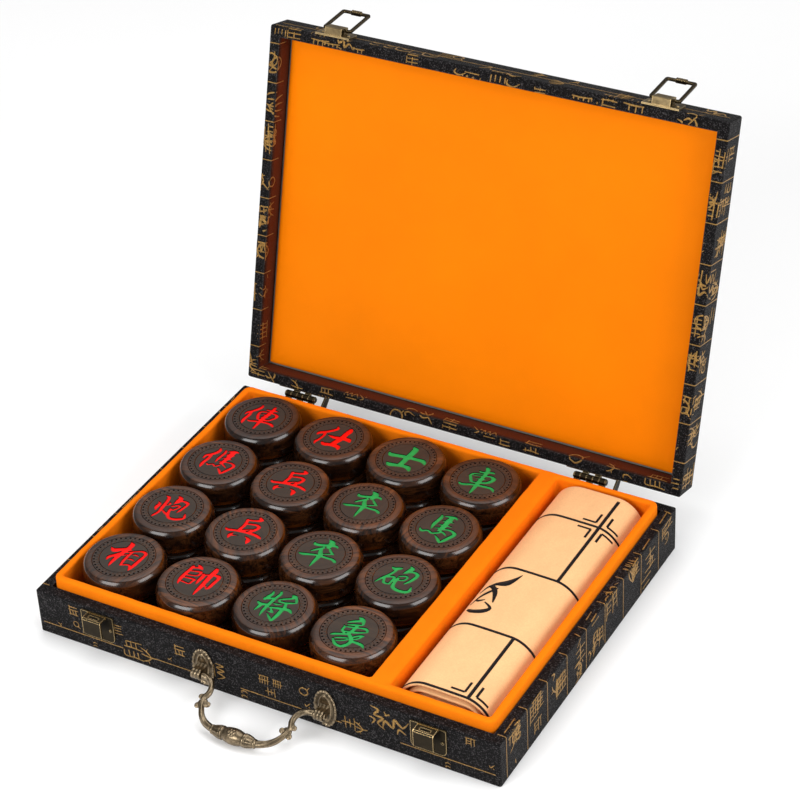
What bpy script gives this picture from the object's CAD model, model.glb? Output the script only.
"""Looks of an open xiangqi (Chinese chess) box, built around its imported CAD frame.

Everything is in metres, in the frame of the CAD: +Z up, the front faces -Y, +X to the right.
Shapes are written in millimetres and scaled by MM where their mesh is made.
"""

import cmath
import math
import random

import bmesh
import bpy
import numpy as np
from mathutils import Matrix, Vector, noise
from mathutils.geometry import delaunay_2d_cdt


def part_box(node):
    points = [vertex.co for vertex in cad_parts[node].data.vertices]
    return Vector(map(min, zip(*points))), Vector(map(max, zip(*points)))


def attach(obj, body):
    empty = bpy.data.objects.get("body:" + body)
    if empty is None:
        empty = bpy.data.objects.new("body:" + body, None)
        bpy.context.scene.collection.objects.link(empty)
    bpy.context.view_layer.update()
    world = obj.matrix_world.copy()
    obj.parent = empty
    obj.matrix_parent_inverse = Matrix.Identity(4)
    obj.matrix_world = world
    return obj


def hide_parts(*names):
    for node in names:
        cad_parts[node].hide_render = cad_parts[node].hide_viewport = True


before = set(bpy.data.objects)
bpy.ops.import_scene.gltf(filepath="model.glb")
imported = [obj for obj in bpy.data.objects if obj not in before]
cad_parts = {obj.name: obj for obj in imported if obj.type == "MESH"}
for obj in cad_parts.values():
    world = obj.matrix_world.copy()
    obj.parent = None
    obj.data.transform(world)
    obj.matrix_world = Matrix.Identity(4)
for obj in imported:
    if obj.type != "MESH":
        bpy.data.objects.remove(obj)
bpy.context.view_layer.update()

bl_info = {
    "name": "Xiangqi box",
    "version": (1, 0, 0),
    "blender": (4, 5, 0),
    "location": "View3D > Sidebar > Xiangqi box",
    "description": "Cloth, wood, suede and metal of an open xiangqi box around its CAD frame",
    "category": "Object",
}

MM = 0.001

# The case, in millimetres, as the frame has it.
CASE_LOW, CASE_HIGH = (np.array(c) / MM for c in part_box("base_brocade"))
HALF_W, HALF_D, BASE_TOP = CASE_HIGH
FRONT_Y = -HALF_D
WALL = 8.0
RIM_ROUND = 1.2
LID_BOTTOM, LID_TOP = 35.3, 57.6
LID_SIDE = LID_TOP - LID_BOTTOM
LID_INSIDE = 12.0
LID_ANGLE = math.radians(105.0)
HINGE_Y, HINGE_Z = 138.2, 35.15
LOOP_STEPS = (70, 90)

# Woven figures: the rule lines are RULE_PITCH apart, and lowest RULE_UP over the table.
RULE_PITCH, RULE_UP = 28.7, 9.0

# Playing pieces.
PIECE_D, PIECE_T, FACE_R, SHOULDER = 58.0, 20.8, 24.0, (26.3, 9.8)
DRUM_SIDES, SIDE_ROWS = 96, 32
GROOVES_R, GROOVE_HALF = (16.8, 21.6), 0.35
DOTS, DOTS_R, DOT_R, CURLS_R = 39, 20.2, 0.78, 18.3
CARVED = {"top": 0.0, "curl": 0.2, "groove": 0.3, "dot": 0.5, "paint": 0.6}

# Rolled board: ROLL_STEP is one turn of the winding, three layers of sheet thick.
ROLL_R, ROLL_HALF, ROLL_STEP, ROLL_TURNS, ROLL_CROWN = 19.5, 13.7, 4.22, 4, 1.0
ROLL_CREEP, ROLL_PLY = -2.0, 229.6
SHEET_THICK, LAYER_PITCH, SHEET_WOUND, SHEET_FOLDED = 0.7, 1.15, 536.0, 600.0
FLAP_FRONT, FLAP_BACK = 199.2, 166.6
BOARD_RANKS, BOARD_FILE = (-113.0, -49.0, 15.0, 79.0), 142.0
RIVER_FLOURISH = (
    ((100.5, -7, 1.4), (106, -4, 3.0), (112, -2, 5.2), (115.5, 3, 3.4), (118.6, 10.5, 0.5)),
    ((98.2, -12, 1.0), (102, -6, 2.6), (106.5, -8, 3.4), (110.5, -14, 3.2), (113.4, -23, 0.8)),
    ((97.6, -25, 1.0), (101, -18, 2.6), (105.5, -13, 2.8), (110, -8, 1.0)),
    ((98.6, -31, 1.6), (104, -34.5, 3.4), (110.5, -34, 4.0), (114.4, -29, 2.4), (108, -24, 0.8)),
    ((99, -20, 0.8), (103, -22.5, 2.2), (107, -21.5, 0.8)),
)

# Liner and padded panel.
RUBBED = 1.3  # width of the lighter cloth along folds
EDGE_WEAR = 1.0  # width of the bare metal along folded edges
LINER_CORNER, LINER_ROUND, DIVIDER_SOFT = 6.0, 2.2, 2.2
CLOSED_PANEL, PANEL_FACE_Z, PANEL_BACK_Z, PANEL_SOFT = (165.6, 124.6), 48.7, 52.0, 3.0

# Handle: its pivot axis, and how far it hangs below level at rest.
HANDLE_X, PIVOT_Y, PIVOT_Z, HANDLE_DROP = 3.6, -142.0, 17.5, 20.39
HANDLE_REACH, KNOB_R, PIVOT_R, POST_X = 33.0, 5.7, 1.5, 46.2
POST_EYE_R = 3.8
POST_RIDGES = (
    (-3.4, 0.78), (-3.2, 0.95), (-2.4, 1.0), (-1.6, 0.95), (-1.2, 0.82), (-0.8, 0.95), (0.0, 1.0),
    (0.8, 0.95), (1.2, 0.82), (1.6, 0.95), (2.4, 1.0), (3.2, 0.95), (3.4, 0.78),
)  # fmt: skip
ARM_LINE = (
    (42.3, 0.3, 2.3), (39.6, 0.2, 2.3), (36.7, 0.9, 2.2), (33.6, 3.2, 2.15), (31.6, 6.8, 2.1), (31.3, 10.8, 2.1),
    (32.6, 15.6, 2.0), (31.6, 20.0, 2.1), (28.6, 25.6, 2.2), (25.6, 28.8, 2.35), (22.2, 31.0, 2.5),
    (17.8, 32.5, 2.6), (14.6, 33.0, 2.7),
)  # fmt: skip
SCROLLS = ((35.0, 14.6, 1.7, 150), (34.3, 21.2, 1.9, 200), (28.2, 18.0, 1.7, 20))
LEAF_TIPS = ((33.0, 12.6, 1.5), (33.2, 18.0, 1.9), (30.4, 16.6, 1.6), (31.0, 21.6, 1.9))

# Where the front's rule line shows, and where its figures stand: shape, along, up, quarter turn and size.
FRONT_RULES = ((-171.5, -107.0), (-81.0, -47.0), (-15.0, 31.0), (53.0, 61.0), (104.0, 171.5))
FRONT_FIGURES = (
    (3, -172.5, 24.0, 1, 0.8), (0, -145.0, 27.5, 1, 0.9), (4, -144.0, 16.0, 0, 0.7), (9, -158.0, 11.0, 1, 0.5),
    (1, -109.5, 23.5, 0, 0.9), (5, -98.5, 10.0, 1, 1.5), (7, -86.5, 9.0, 1, 1.3), (0, -61.0, 24.0, 1, 1.0),
    (9, -69.5, 13.5, 0, 0.5), (10, -30.0, 17.0, 0, 1.3), (8, -12.0, 4.8, 1, 0.8), (2, 4.0, 23.0, 0, 0.9),
    (2, 14.0, 23.0, 0, 0.8), (6, 8.0, 14.5, 1, 0.8), (4, 34.0, 25.0, 1, 1.0), (9, 36.0, 14.0, 0, 0.7),
    (6, 66.0, 11.0, 1, 1.1), (7, 75.0, 9.5, 1, 1.0), (11, 88.0, 24.0, 0, 1.5), (11, 101.0, 22.0, 1, 1.7),
    (8, 138.0, 3.6, 1, 0.6), (0, 154.5, 30.0, 0, 0.8), (9, 169.0, 15.0, 0, 0.6), (8, -130.0, 3.4, 1, 0.5),
)  # fmt: skip

# Abstract brush and seal figures of the brocade: strokes of (x, y, width), about ten millimetres across.
FIGURES = (
    (  # ladder
        ((-4, -4, 0.7), (-3.6, 0, 0.9), (-4, 4, 0.6)), ((0.5, -4.4, 0.7), (0.2, 0, 0.9), (0.6, 4.2, 0.6)),
        ((-4.4, -2.4, 0.8), (0.8, -2, 0.7)), ((-4.2, 0.2, 0.8), (0.8, 0.4, 0.7)), ((-4.6, 2.8, 0.7), (4.2, 3.4, 0.9)),
        ((3, 3.2, 0.8), (3.2, -3.6, 0.7)),
    ),
    (  # tall comb
        ((-3.6, -5, 0.6), (-3.2, 0, 0.9), (-3.4, 5, 0.7)), ((-3.4, 4, 0.8), (3.6, 4.4, 0.7)),
        ((-3.3, 1.6, 0.8), (3, 2, 0.6)), ((-3.2, -1, 0.8), (3, -0.6, 0.6)), ((-3.2, -3.6, 0.8), (4.2, -3.2, 0.7)),
    ),
    (  # paired combs
        ((-4.5, 0, 0.8), (4.5, 0.4, 0.7)), ((-3.6, -3.6, 0.6), (-3.4, 3.8, 0.8)), ((-1.6, -3.4, 0.7), (-1.4, 3.6, 0.7)),
        ((0.6, -3.6, 0.8), (0.8, 3.8, 0.6)), ((2.8, -3.4, 0.6), (3, 3.6, 0.8)), ((-4.6, 3.8, 0.6), (3.8, 4, 0.7)),
    ),
    (  # bow
        ((-3, 4, 0.6), (1.6, 3.4, 1.0), (2.8, 0, 1.1), (1.4, -3.2, 0.9), (-2.4, -4, 0.5)), ((-1, 1, 0.7), (-0.6, -1.4, 0.9)),
    ),
    (  # ring with a tail
        ((-2, 3, 0.7), (-3.2, 0, 1.1), (-1, -2.8, 1.0), (2, -2, 1.1), (2.6, 1.4, 0.9), (0, 3.4, 0.8), (-2.2, 2.6, 0.6)),
        ((1.6, -2.2, 0.9), (4.6, -4.4, 0.4)),
    ),
    (  # hooked comb
        ((-4.6, -5, 0.6), (-4, -0.6, 0.9), (-4.2, 4.8, 0.8), (-1, 5.2, 0.7)), ((-4.2, 2.4, 0.7), (-0.6, 2.8, 0.8)),
        ((-4, 0, 0.7), (-0.6, 0.2, 0.8)), ((-4, -2.4, 0.7), (-0.8, -2, 0.8)), ((1, -5, 0.6), (1.4, 0, 0.9), (1.2, 5, 0.6)),
        ((1.3, 3.4, 0.8), (4.6, 3.8, 0.6)), ((1.3, 1, 0.8), (4.4, 1.2, 0.6)), ((1.4, -1.6, 0.8), (4.6, -1.4, 0.6)),
        ((4.4, 3.8, 0.7), (5, -4.6, 0.5)),
    ),
    (  # crossed bars
        ((0, -4.8, 0.6), (0.2, 0, 1.0), (-0.2, 4.8, 0.7)), ((-4.4, 1.8, 0.7), (4.4, 2.2, 0.8)),
        ((-3, -1.4, 0.7), (3.2, -1, 0.8)), ((-4.6, -4.4, 0.8), (4.8, -4, 0.6)),
    ),
    (  # antlers
        ((0, -5, 0.6), (-0.4, -1, 1.2), (0.4, 4.6, 0.6)), ((0, -1.4, 0.8), (3, 1.6, 1.2), (4.4, 4.6, 0.4)),
        ((-0.2, -2, 0.8), (-3, 0.8, 1.1), (-4.2, 4, 0.4)), ((-2.8, 0.6, 0.6), (-4.8, 0, 0.4)), ((3, 1.4, 0.6), (4.8, 0.4, 0.4)),
    ),
    (  # two hooks
        ((-4, 2.4, 0.5), (-2.4, 3.2, 1.1), (-1.4, 0.6, 0.9), (-2.8, -2.6, 0.4)),
        ((0.6, 2.8, 0.5), (2.6, 3, 1.2), (3.4, 0, 0.9), (1.6, -3, 0.4)),
    ),
    (  # tick and dot
        ((-3, 1, 0.4), (-1.4, -1.6, 1.3), (3, 3.2, 0.4)), ((1, -2, 0.6), (2.4, -2.8, 1.2)),
    ),
    (  # zigzag column
        ((-2.4, 5, 0.6), (2.2, 4.2, 1.0), (-2, 2.4, 0.8), (2.4, 1, 1.0), (-1.8, -0.8, 0.8), (2.4, -2.6, 1.0), (-2, -5, 0.5)),
        ((-3.6, 3.8, 0.6), (-3.4, -4, 0.7)),
    ),
    (  # running brush stroke
        ((-3, 5.6, 0.5), (0.6, 4.4, 1.7), (-1.6, 1.2, 1.3), (2.6, 0.4, 1.9), (0, -3, 1.2), (3.4, -5.6, 0.4)),
        ((-4, -0.6, 0.5), (-1.4, -1.4, 1.3), (-3, -4.4, 0.5)), ((3.4, 4.6, 0.5), (4.4, 2.4, 1.2)),
    ),
    (  # leaf sprig
        ((-4.6, -3.6, 0.4), (-1, -1, 1.0), (4.6, 3.4, 0.5)), ((-1.4, -1.2, 0.6), (-2.4, 1.6, 1.4), (-1.4, 4, 0.4)),
        ((1.4, 0.8, 0.6), (0.8, 3, 1.3), (2, 5, 0.4)), ((0.4, 0, 0.6), (3, -1.4, 1.4), (5, -1, 0.4)),
    ),
    (  # wide fan
        ((0, -4.6, 0.6), (-3.4, 0, 1.1), (-4.4, 4.4, 0.5)), ((0.2, -4.6, 0.6), (-0.8, 0, 1.0), (-1, 4.8, 0.5)),
        ((0.4, -4.6, 0.6), (2, 0, 1.0), (2.2, 4.6, 0.5)), ((0.6, -4.4, 0.6), (4, -1, 1.1), (5, 3, 0.5)),
    ),
)  # fmt: skip

# Brush strokes of the playing pieces' characters: (x, y, width) in tenths of a millimetre round the centre.
CHARACTERS = {
    "chariot_red": (
        ((-74, 131, 12), (-67, 107, 28), (-82, 70, 31), (-108, 33, 28), (-131, 9, 26), (-138, -20, 12)),
        ((-106, 20, 24), (-104, -20, 31), (-110, -73, 29), (-107, -105, 26), (-98, -128, 6)),
        ((25, 139, 24), (28, 107, 29), (23, 59, 33), (14, 6, 38), (11, -36, 36), (11, -89, 28),
         (11, -137, 20), (12, -156, 7)),
        ((-17, 94, 16), (8, 94, 22), (45, 103, 25), (69, 106, 11)),
        ((11, 71, 13), (-19, 65, 20), (-46, 51, 22), (-48, 25, 22), (-37, -4, 24), (-21, -33, 20)),
        ((26, 65, 16), (56, 70, 21), (85, 60, 25), (94, 35, 25), (83, 12, 24), (62, -15, 22),
         (37, -30, 18)),
        ((-42, 30, 10), (-3, 35, 12), (40, 41, 15)),
        ((-13, 0, 10), (13, 6, 16), (45, 16, 10)),
        ((-21, -31, 16), (8, -36, 21), (45, -20, 19)),
        ((-85, -70, 12), (-63, -77, 24), (-29, -67, 25), (13, -56, 25), (66, -50, 25), (103, -54, 28),
         (125, -70, 21), (130, -79, 7)),
    ),
    "adviser_red": (
        ((-38, 137, 8), (-24, 105, 29), (-53, 68, 31), (-90, 36, 32), (-122, 12, 33), (-126, -12, 13)),
        ((-80, 20, 24), (-77, -14, 24), (-85, -62, 24), (-96, -88, 28), (-89, -121, 7)),
        ((-53, 17, 5), (-24, 10, 25), (2, 6, 33), (39, 13, 40), (81, 20, 41), (113, 19, 45),
         (129, 2, 21)),
        ((68, 137, 32), (70, 113, 47), (63, 65, 45), (58, 12, 48), (44, -30, 48), (34, -67, 48)),
        ((-47, -80, 21), (-24, -94, 40), (13, -83, 40), (50, -80, 41), (81, -83, 42), (97, -104, 24),
         (100, -115, 11)),
    ),
    "adviser_green": (
        ((-147, 23, 11), (-123, 1, 42), (-80, 6, 41), (-28, 15, 41), (25, 20, 38), (89, 23, 38),
         (121, 22, 41), (144, 2, 26), (150, -11, 11)),
        ((-12, 142, 21), (10, 121, 48), (10, 79, 49), (4, 26, 47), (0, -27, 45), (-4, -80, 45)),
        ((-104, -90, 13), (-78, -106, 45), (-38, -98, 40), (-1, -88, 38), (36, -85, 38), (62, -90, 42),
         (84, -117, 21), (86, -125, 8)),
    ),
    "chariot_green": (
        ((-32, 148, 13), (-16, 140, 32), (-5, 114, 33), (-2, 77, 31), (-4, 34, 32), (-5, -13, 35),
         (-5, -61, 35), (-5, -103, 31), (-5, -146, 21), (-4, -169, 7)),
        ((-58, 93, 12), (-34, 87, 24), (3, 101, 24), (40, 111, 24), (51, 102, 8)),
        ((-19, 69, 11), (-50, 63, 16), (-85, 48, 21), (-95, 24, 22), (-82, 3, 22), (-66, -24, 23),
         (-50, -42, 16)),
        ((11, 58, 19), (45, 66, 22), (71, 53, 33), (77, 34, 33), (63, 5, 33), (40, -16, 26),
         (8, -32, 16)),
        ((-77, 33, 13), (-40, 42, 15), (3, 53, 16), (40, 61, 13)),
        ((-45, 8, 11), (-19, 11, 15), (19, 19, 19), (24, 13, 5)),
        ((-66, -40, 15), (-29, -37, 19), (8, -26, 21), (45, -11, 24)),
        ((-130, -79, 11), (-111, -93, 25), (-77, -85, 28), (-40, -69, 26), (3, -61, 26), (56, -56, 28),
         (98, -53, 26), (119, -63, 26), (138, -85, 10)),
    ),
    "horse_red": (
        ((-74, 148, 8), (-60, 119, 31), (-71, 82, 32), (-98, 50, 29), (-122, 26, 26), (-122, -8, 13)),
        ((-87, 40, 26), (-87, -3, 29), (-95, -45, 29), (-93, -82, 28), (-86, -110, 8)),
        ((-21, 138, 13), (-12, 108, 25), (-17, 66, 24), (-21, 29, 24), (-19, -13, 10)),
        ((5, 135, 16), (40, 146, 32), (69, 150, 24)),
        ((42, 135, 42), (40, 98, 50), (40, 61, 37), (34, 24, 34), (28, -8, 32)),
        ((11, 98, 15), (40, 99, 21), (69, 103, 12)),
        ((5, 53, 12), (40, 54, 21), (74, 58, 11)),
        ((2, 5, 12), (40, 13, 16)),
        ((40, 13, 16), (77, 21, 17), (108, 17, 22), (129, -3, 25), (124, -29, 28), (111, -61, 29),
         (95, -98, 26), (85, -122, 10)),
        ((85, -119, 10), (66, -93, 21), (37, -66, 11)),
        ((-71, -45, 8), (-51, -61, 19), (-21, -40, 15), (3, -56, 19), (28, -34, 20)),
        ((40, -13, 16), (61, -26, 16), (85, -42, 8)),
    ),
    "soldier_red": (
        ((20, 167, 19), (40, 147, 36), (7, 127, 24), (-30, 116, 22), (-57, 113, 12)),
        ((-50, 116, 24), (-43, 87, 26), (-38, 50, 29), (-43, 13, 29), (-50, -13, 21)),
        ((-30, 71, 19), (7, 82, 22), (44, 87, 25), (65, 71, 29), (60, 45, 31), (39, 13, 32),
         (23, -8, 21)),
        ((-35, -5, 16), (-4, 8, 20), (31, 32, 10)),
        ((-139, -24, 12), (-120, -37, 28), (-72, -24, 28), (-20, -16, 26), (33, -11, 28), (86, -12, 29),
         (123, -24, 26), (139, -34, 10)),
        ((-67, -56, 16), (-75, -82, 33), (-70, -114, 12)),
        ((-65, -82, 19), (-17, -63, 7)),
        ((28, -53, 6), (60, -66, 24), (73, -87, 38), (76, -119, 12)),
    ),
    "soldier_green": (
        ((-20, 164, 11), (9, 143, 45), (14, 119, 48), (12, 87, 32)),
        ((-99, 98, 15), (-86, 82, 29), (-41, 90, 31), (12, 111, 31), (54, 119, 26), (75, 103, 8)),
        ((-15, 71, 26), (-47, 40, 25), (-73, 13, 19), (-81, 3, 7)),
        ((-25, 61, 24), (-15, 24, 32), (1, -3, 36), (1, -34, 36), (-2, -82, 28), (-3, -130, 15),
         (-3, -144, 5)),
        ((28, 77, 16), (51, 53, 21), (78, 34, 17)),
        ((12, 8, 13), (49, 24, 19), (80, 37, 12)),
        ((-139, -45, 15), (-110, -45, 29), (-62, -29, 25), (-10, -16, 25), (49, -16, 25), (102, -16, 26),
         (128, -32, 24), (136, -40, 7)),
    ),
    "horse_green": (
        ((-60, 139, 10), (-50, 110, 29), (-55, 67, 30), (-62, 25, 31), (-57, -23, 13), (-55, -32, 5)),
        ((-31, 131, 16), (1, 139, 24), (38, 144, 25), (59, 131, 17)),
        ((22, 136, 32), (16, 99, 49), (14, 62, 40), (14, 35, 47), (8, 4, 37), (3, -23, 32)),
        ((-21, 80, 13), (16, 86, 19), (53, 88, 13)),
        ((-29, 35, 13), (16, 38, 19), (61, 41, 13)),
        ((-39, -10, 13), (11, 4, 17)),
        ((11, -10, 19), (53, 4, 21), (90, 1, 24), (117, -17, 29), (117, -39, 33), (98, -81, 33),
         (80, -118, 29), (64, -147, 11)),
        ((64, -146, 11), (43, -118, 26), (1, -81, 8)),
        ((-129, -52, 10), (-105, -76, 26), (-66, -57, 20), (-31, -73, 21), (6, -54, 24), (22, -39, 19)),
        ((16, -28, 16), (48, -41, 20), (69, -60, 8)),
    ),
    "cannon_red": (
        ((-125, 25, 8), (-106, 2, 29), (-109, -30, 33), (-98, -65, 11)),
        ((-112, 102, 13), (-88, 97, 25), (-77, 65, 28), (-72, 28, 29), (-69, -14, 31), (-64, -57, 26),
         (-67, -88, 24), (-77, -115, 24), (-83, -133, 16)),
        ((-51, 49, 10), (-39, 33, 19), (-51, 12, 13)),
        ((-46, -51, 16), (-19, -67, 21), (-1, -75, 21)),
        ((-30, 137, 11), (-6, 118, 37), (-3, 86, 45), (-14, 49, 16)),
        ((-3, 86, 26), (29, 99, 21), (60, 94, 28), (76, 81, 24), (71, 39, 24), (63, -4, 24),
         (55, -30, 10)),
        ((-14, 17, 19), (18, 41, 20), (37, 39, 19), (34, 12, 19), (18, -14, 19), (-3, -20, 19)),
        ((-6, -14, 24), (2, -57, 25), (18, -88, 25), (44, -104, 26), (87, -99, 28), (119, -80, 28),
         (134, -62, 24), (124, -35, 19), (114, -14, 6)),
    ),
    "cannon_green": (
        ((-90, 93, 12), (-66, 83, 32), (-34, 98, 32), (-24, 110, 14)),
        ((-50, 83, 24), (-56, 46, 24), (-74, 3, 25), (-98, -39, 25), (-122, -93, 12)),
        ((-77, -18, 19), (-37, 3, 24), (-23, -7, 22), (-24, -44, 22), (-26, -76, 19)),
        ((-82, -34, 19), (-70, -71, 22), (-50, -79, 22), (-26, -74, 19)),
        ((19, 151, 8), (40, 125, 40), (24, 83, 32), (8, 64, 12)),
        ((24, 80, 16), (71, 101, 24), (103, 85, 29), (103, 51, 29), (87, 3, 26), (66, -31, 16)),
        ((0, 24, 19), (40, 43, 19), (56, 30, 19), (45, -2, 20), (13, -13, 17)),
        ((0, 3, 24), (0, -44, 26), (8, -87, 29), (40, -108, 31), (87, -111, 32), (124, -97, 32),
         (130, -71, 24), (122, -39, 6)),
    ),
    "elephant_red": (
        ((-42, 154, 12), (-21, 135, 40), (-21, 98, 40), (-29, 56, 37), (-40, 3, 38), (-45, -50, 32),
         (-45, -97, 24), (-42, -126, 7)),
        ((-138, 56, 7), (-103, 35, 43), (-61, 61, 37), (-19, 83, 37), (11, 80, 10)),
        ((-40, 30, 29), (-66, -7, 32), (-93, -39, 31), (-93, -71, 14)),
        ((-29, 46, 21), (3, 59, 16), (29, 77, 15)),
        ((-34, 1, 15), (3, 30, 15)),
        ((24, 67, 22), (19, 19, 24), (19, -34, 25), (26, -81, 20)),
        ((32, 77, 16), (77, 101, 22), (108, 98, 26), (122, 77, 26), (118, 19, 29), (114, -34, 32),
         (108, -87, 26), (106, -111, 10)),
        ((40, 46, 11), (66, 51, 20), (93, 43, 7)),
        ((34, -7, 11), (61, -2, 20), (90, -10, 7)),
        ((29, -81, 16), (61, -63, 20), (87, -63, 19), (103, -97, 15)),
    ),
    "general_red": (
        ((-113, 120, 24), (-115, 72, 29), (-121, 19, 31), (-121, -34, 29), (-111, -79, 10)),
        ((-86, 149, 12), (-62, 130, 31), (-36, 114, 11)),
        ((-110, 101, 21), (-78, 119, 20), (-41, 117, 15)),
        ((-99, 72, 16), (-62, 83, 19), (-33, 87, 24), (-28, 69, 22), (-36, 46, 20), (-68, 35, 16),
         (-99, 27, 20)),
        ((-99, -2, 19), (-57, 3, 19), (-28, 1, 21), (-35, -23, 21), (-41, -50, 15), (-99, -47, 18)),
        ((-7, 77, 21), (4, 56, 33), (1, 8, 29), (4, -31, 12)),
        ((-4, 72, 18), (22, 80, 18), (54, 98, 21), (86, 101, 21)),
        ((49, 157, 31), (54, 130, 42), (49, 83, 40), (49, 19, 37), (49, -44, 34), (46, -97, 26),
         (46, -137, 10)),
        ((70, 98, 24), (102, 96, 32), (112, 72, 29), (107, 19, 29), (102, -34, 26), (91, -50, 12)),
        ((91, -47, 12), (70, -23, 15)),
    ),
    "general_green": (
        ((-81, 128, 10), (-73, 98, 26), (-84, 67, 31), (-92, 30, 20)),
        ((-97, 40, 26), (-68, 52, 25), (-36, 69, 22)),
        ((-121, -7, 15), (-94, -21, 31), (-62, -13, 26), (-36, -2, 21)),
        ((-86, -29, 26), (-92, -60, 25), (-99, -92, 12)),
        ((-31, 146, 15), (-23, 120, 26), (-31, 77, 26), (-39, 24, 29), (-44, -29, 28), (-44, -81, 24),
         (-39, -134, 6)),
        ((54, 146, 10), (75, 135, 40), (96, 124, 21), (112, 96, 20), (123, 83, 7)),
        ((0, 71, 19), (33, 92, 22), (75, 117, 22)),
        ((-2, 67, 18), (12, 51, 20), (59, 57, 22), (96, 73, 22), (123, 85, 10)),
        ((59, 53, 22), (65, 30, 25), (75, 3, 26)),
        ((-17, 22, 12), (6, 19, 21), (38, 32, 12)),
        ((-23, -26, 17), (22, -15, 26), (65, -5, 29), (107, 1, 33), (133, -15, 19), (144, -24, 6)),
        ((67, -2, 32), (67, -44, 33), (65, -87, 32), (59, -134, 24), (54, -145, 11)),
        ((54, -144, 10), (33, -119, 20), (-10, -81, 5)),
        ((-12, -29, 10), (9, -52, 22), (28, -66, 12)),
        ((-15, -61, 12), (17, -67, 18)),
    ),
    "elephant_green": (
        ((-29, 141, 10), (-11, 133, 31), (11, 120, 29), (29, 85, 18)),
        ((-70, 69, 21), (-40, 90, 26), (3, 114, 28)),
        ((-63, 44, 15), (-21, 59, 24), (26, 77, 16)),
        ((-82, 32, 7), (-71, 14, 21), (-70, -18, 21), (-48, -34, 19)),
        ((-58, 24, 17), (-11, 35, 22), (32, 48, 20), (69, 53, 25), (90, 32, 15)),
        ((-53, -23, 18), (0, -13, 25), (42, 3, 23), (90, 27, 15)),
        ((0, 51, 26), (-3, 19, 29), (-11, -23, 26)),
        ((-116, -87, 15), (-101, -76, 26), (-63, -58, 25), (-16, -39, 26)),
        ((-11, -34, 26), (16, -60, 29), (37, -92, 32), (32, -129, 32), (11, -156, 32), (-11, -169, 15)),
        ((-85, -113, 12), (-63, -140, 21), (-37, -161, 26), (0, -166, 26)),
        ((-74, -103, 17), (-37, -87, 20), (-3, -75, 20)),
        ((-53, -126, 15), (-16, -108, 18), (11, -87, 18)),
        ((26, -55, 20), (58, -26, 23), (82, -18, 25)),
        ((32, -76, 15), (63, -55, 20), (80, -29, 15)),
        ((37, -92, 24), (74, -92, 28), (116, -97, 29), (143, -119, 10)),
    ),
}

UPPER_LAYER = (
    ("chariot_red", "adviser_red", "adviser_green", "chariot_green"),
    ("horse_red", "soldier_red", "soldier_green", "horse_green"),
    ("cannon_red", "soldier_red", "soldier_green", "cannon_green"),
    ("elephant_red", "general_red", "general_green", "elephant_green"),
)
LOWER_LAYER = (
    ("chariot_red", "adviser_red", "adviser_green", "chariot_green"),
    ("horse_red", "soldier_red", "soldier_green", "horse_green"),
    ("cannon_red", "soldier_red", "soldier_green", "cannon_green"),
    ("soldier_red", "elephant_red", "elephant_green", "soldier_green"),
)


# ---- settings -----------------------------------------------------------------------------------------
def colour(name, description, default):
    """A colour setting, in linear light."""
    return bpy.props.FloatVectorProperty(
        name=name, description=description, default=default, size=3, min=0.0, max=1.0, subtype="COLOR"
    )


def length(name, description, default):
    """A length setting, in metres."""
    return bpy.props.FloatProperty(
        name=name, description=description, default=default, min=0.0, precision=5, unit="LENGTH"
    )


class StageSettings(bpy.types.PropertyGroup):
    floor_colour: colour("Floor", "Colour of the plain floor", (0.98, 0.98, 0.98))
    sky_strength: bpy.props.FloatProperty(
        name="Room light", description="Strength of the even light from all round", default=0.26
    )
    key_power: bpy.props.FloatProperty(
        name="Soft boxes", description="Power of each large soft lamp", default=27.0, unit="POWER"
    )
    overhead: bpy.props.FloatProperty(
        name="Overhead", description="Strength of the broad light from above, in watts per square metre", default=1.7
    )


class ClothSettings(bpy.types.PropertyGroup):
    ground: colour("Ground", "Charcoal ground of the brocade", (0.0035, 0.0032, 0.0033))
    gold: colour("Gold thread", "Metallic thread of the figures", (0.38, 0.215, 0.055))
    thread: length("Thread pitch", "Distance between neighbouring threads", 0.42 * MM)
    velvet: colour("Velvet", "Orange velvet of the liner", (0.93, 0.205, 0.004))
    satin: colour("Satin", "Orange satin of the lid panel", (0.96, 0.222, 0.0004))
    suede: colour("Suede", "Pale suede of the rolled board", (0.90, 0.54, 0.258))
    ink: colour("Board ink", "Ink of the lines on the board", (0.012, 0.011, 0.012))


class WoodSettings(bpy.types.PropertyGroup):
    dark: colour("Dark wood", "Darkest wood of the playing pieces", (0.0050, 0.0022, 0.0015))
    light: colour("Light wood", "Lighter grain of the playing pieces", (0.092, 0.030, 0.008))
    face: colour("Engraved wood", "Duller wood inside the engraved circle", (0.021, 0.013, 0.007))
    red: colour("Red paint", "Paint in the red side's characters", (0.86, 0.003, 0.002))
    green: colour("Green paint", "Paint in the green side's characters", (0.018, 0.34, 0.075))


class MetalSettings(bpy.types.PropertyGroup):
    brass: colour("Brass", "Bare antique brass of the latches", (0.62, 0.45, 0.22))
    bronze: colour("Bronze", "Bare antique bronze of the handle", (0.36, 0.275, 0.175))
    patina: colour("Patina", "Dark film in hollows of the metal", (0.022, 0.017, 0.011))


class BoxSettings(bpy.types.PropertyGroup):
    stage: bpy.props.PointerProperty(type=StageSettings)
    cloth: bpy.props.PointerProperty(type=ClothSettings)
    wood: bpy.props.PointerProperty(type=WoodSettings)
    metal: bpy.props.PointerProperty(type=MetalSettings)


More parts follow.
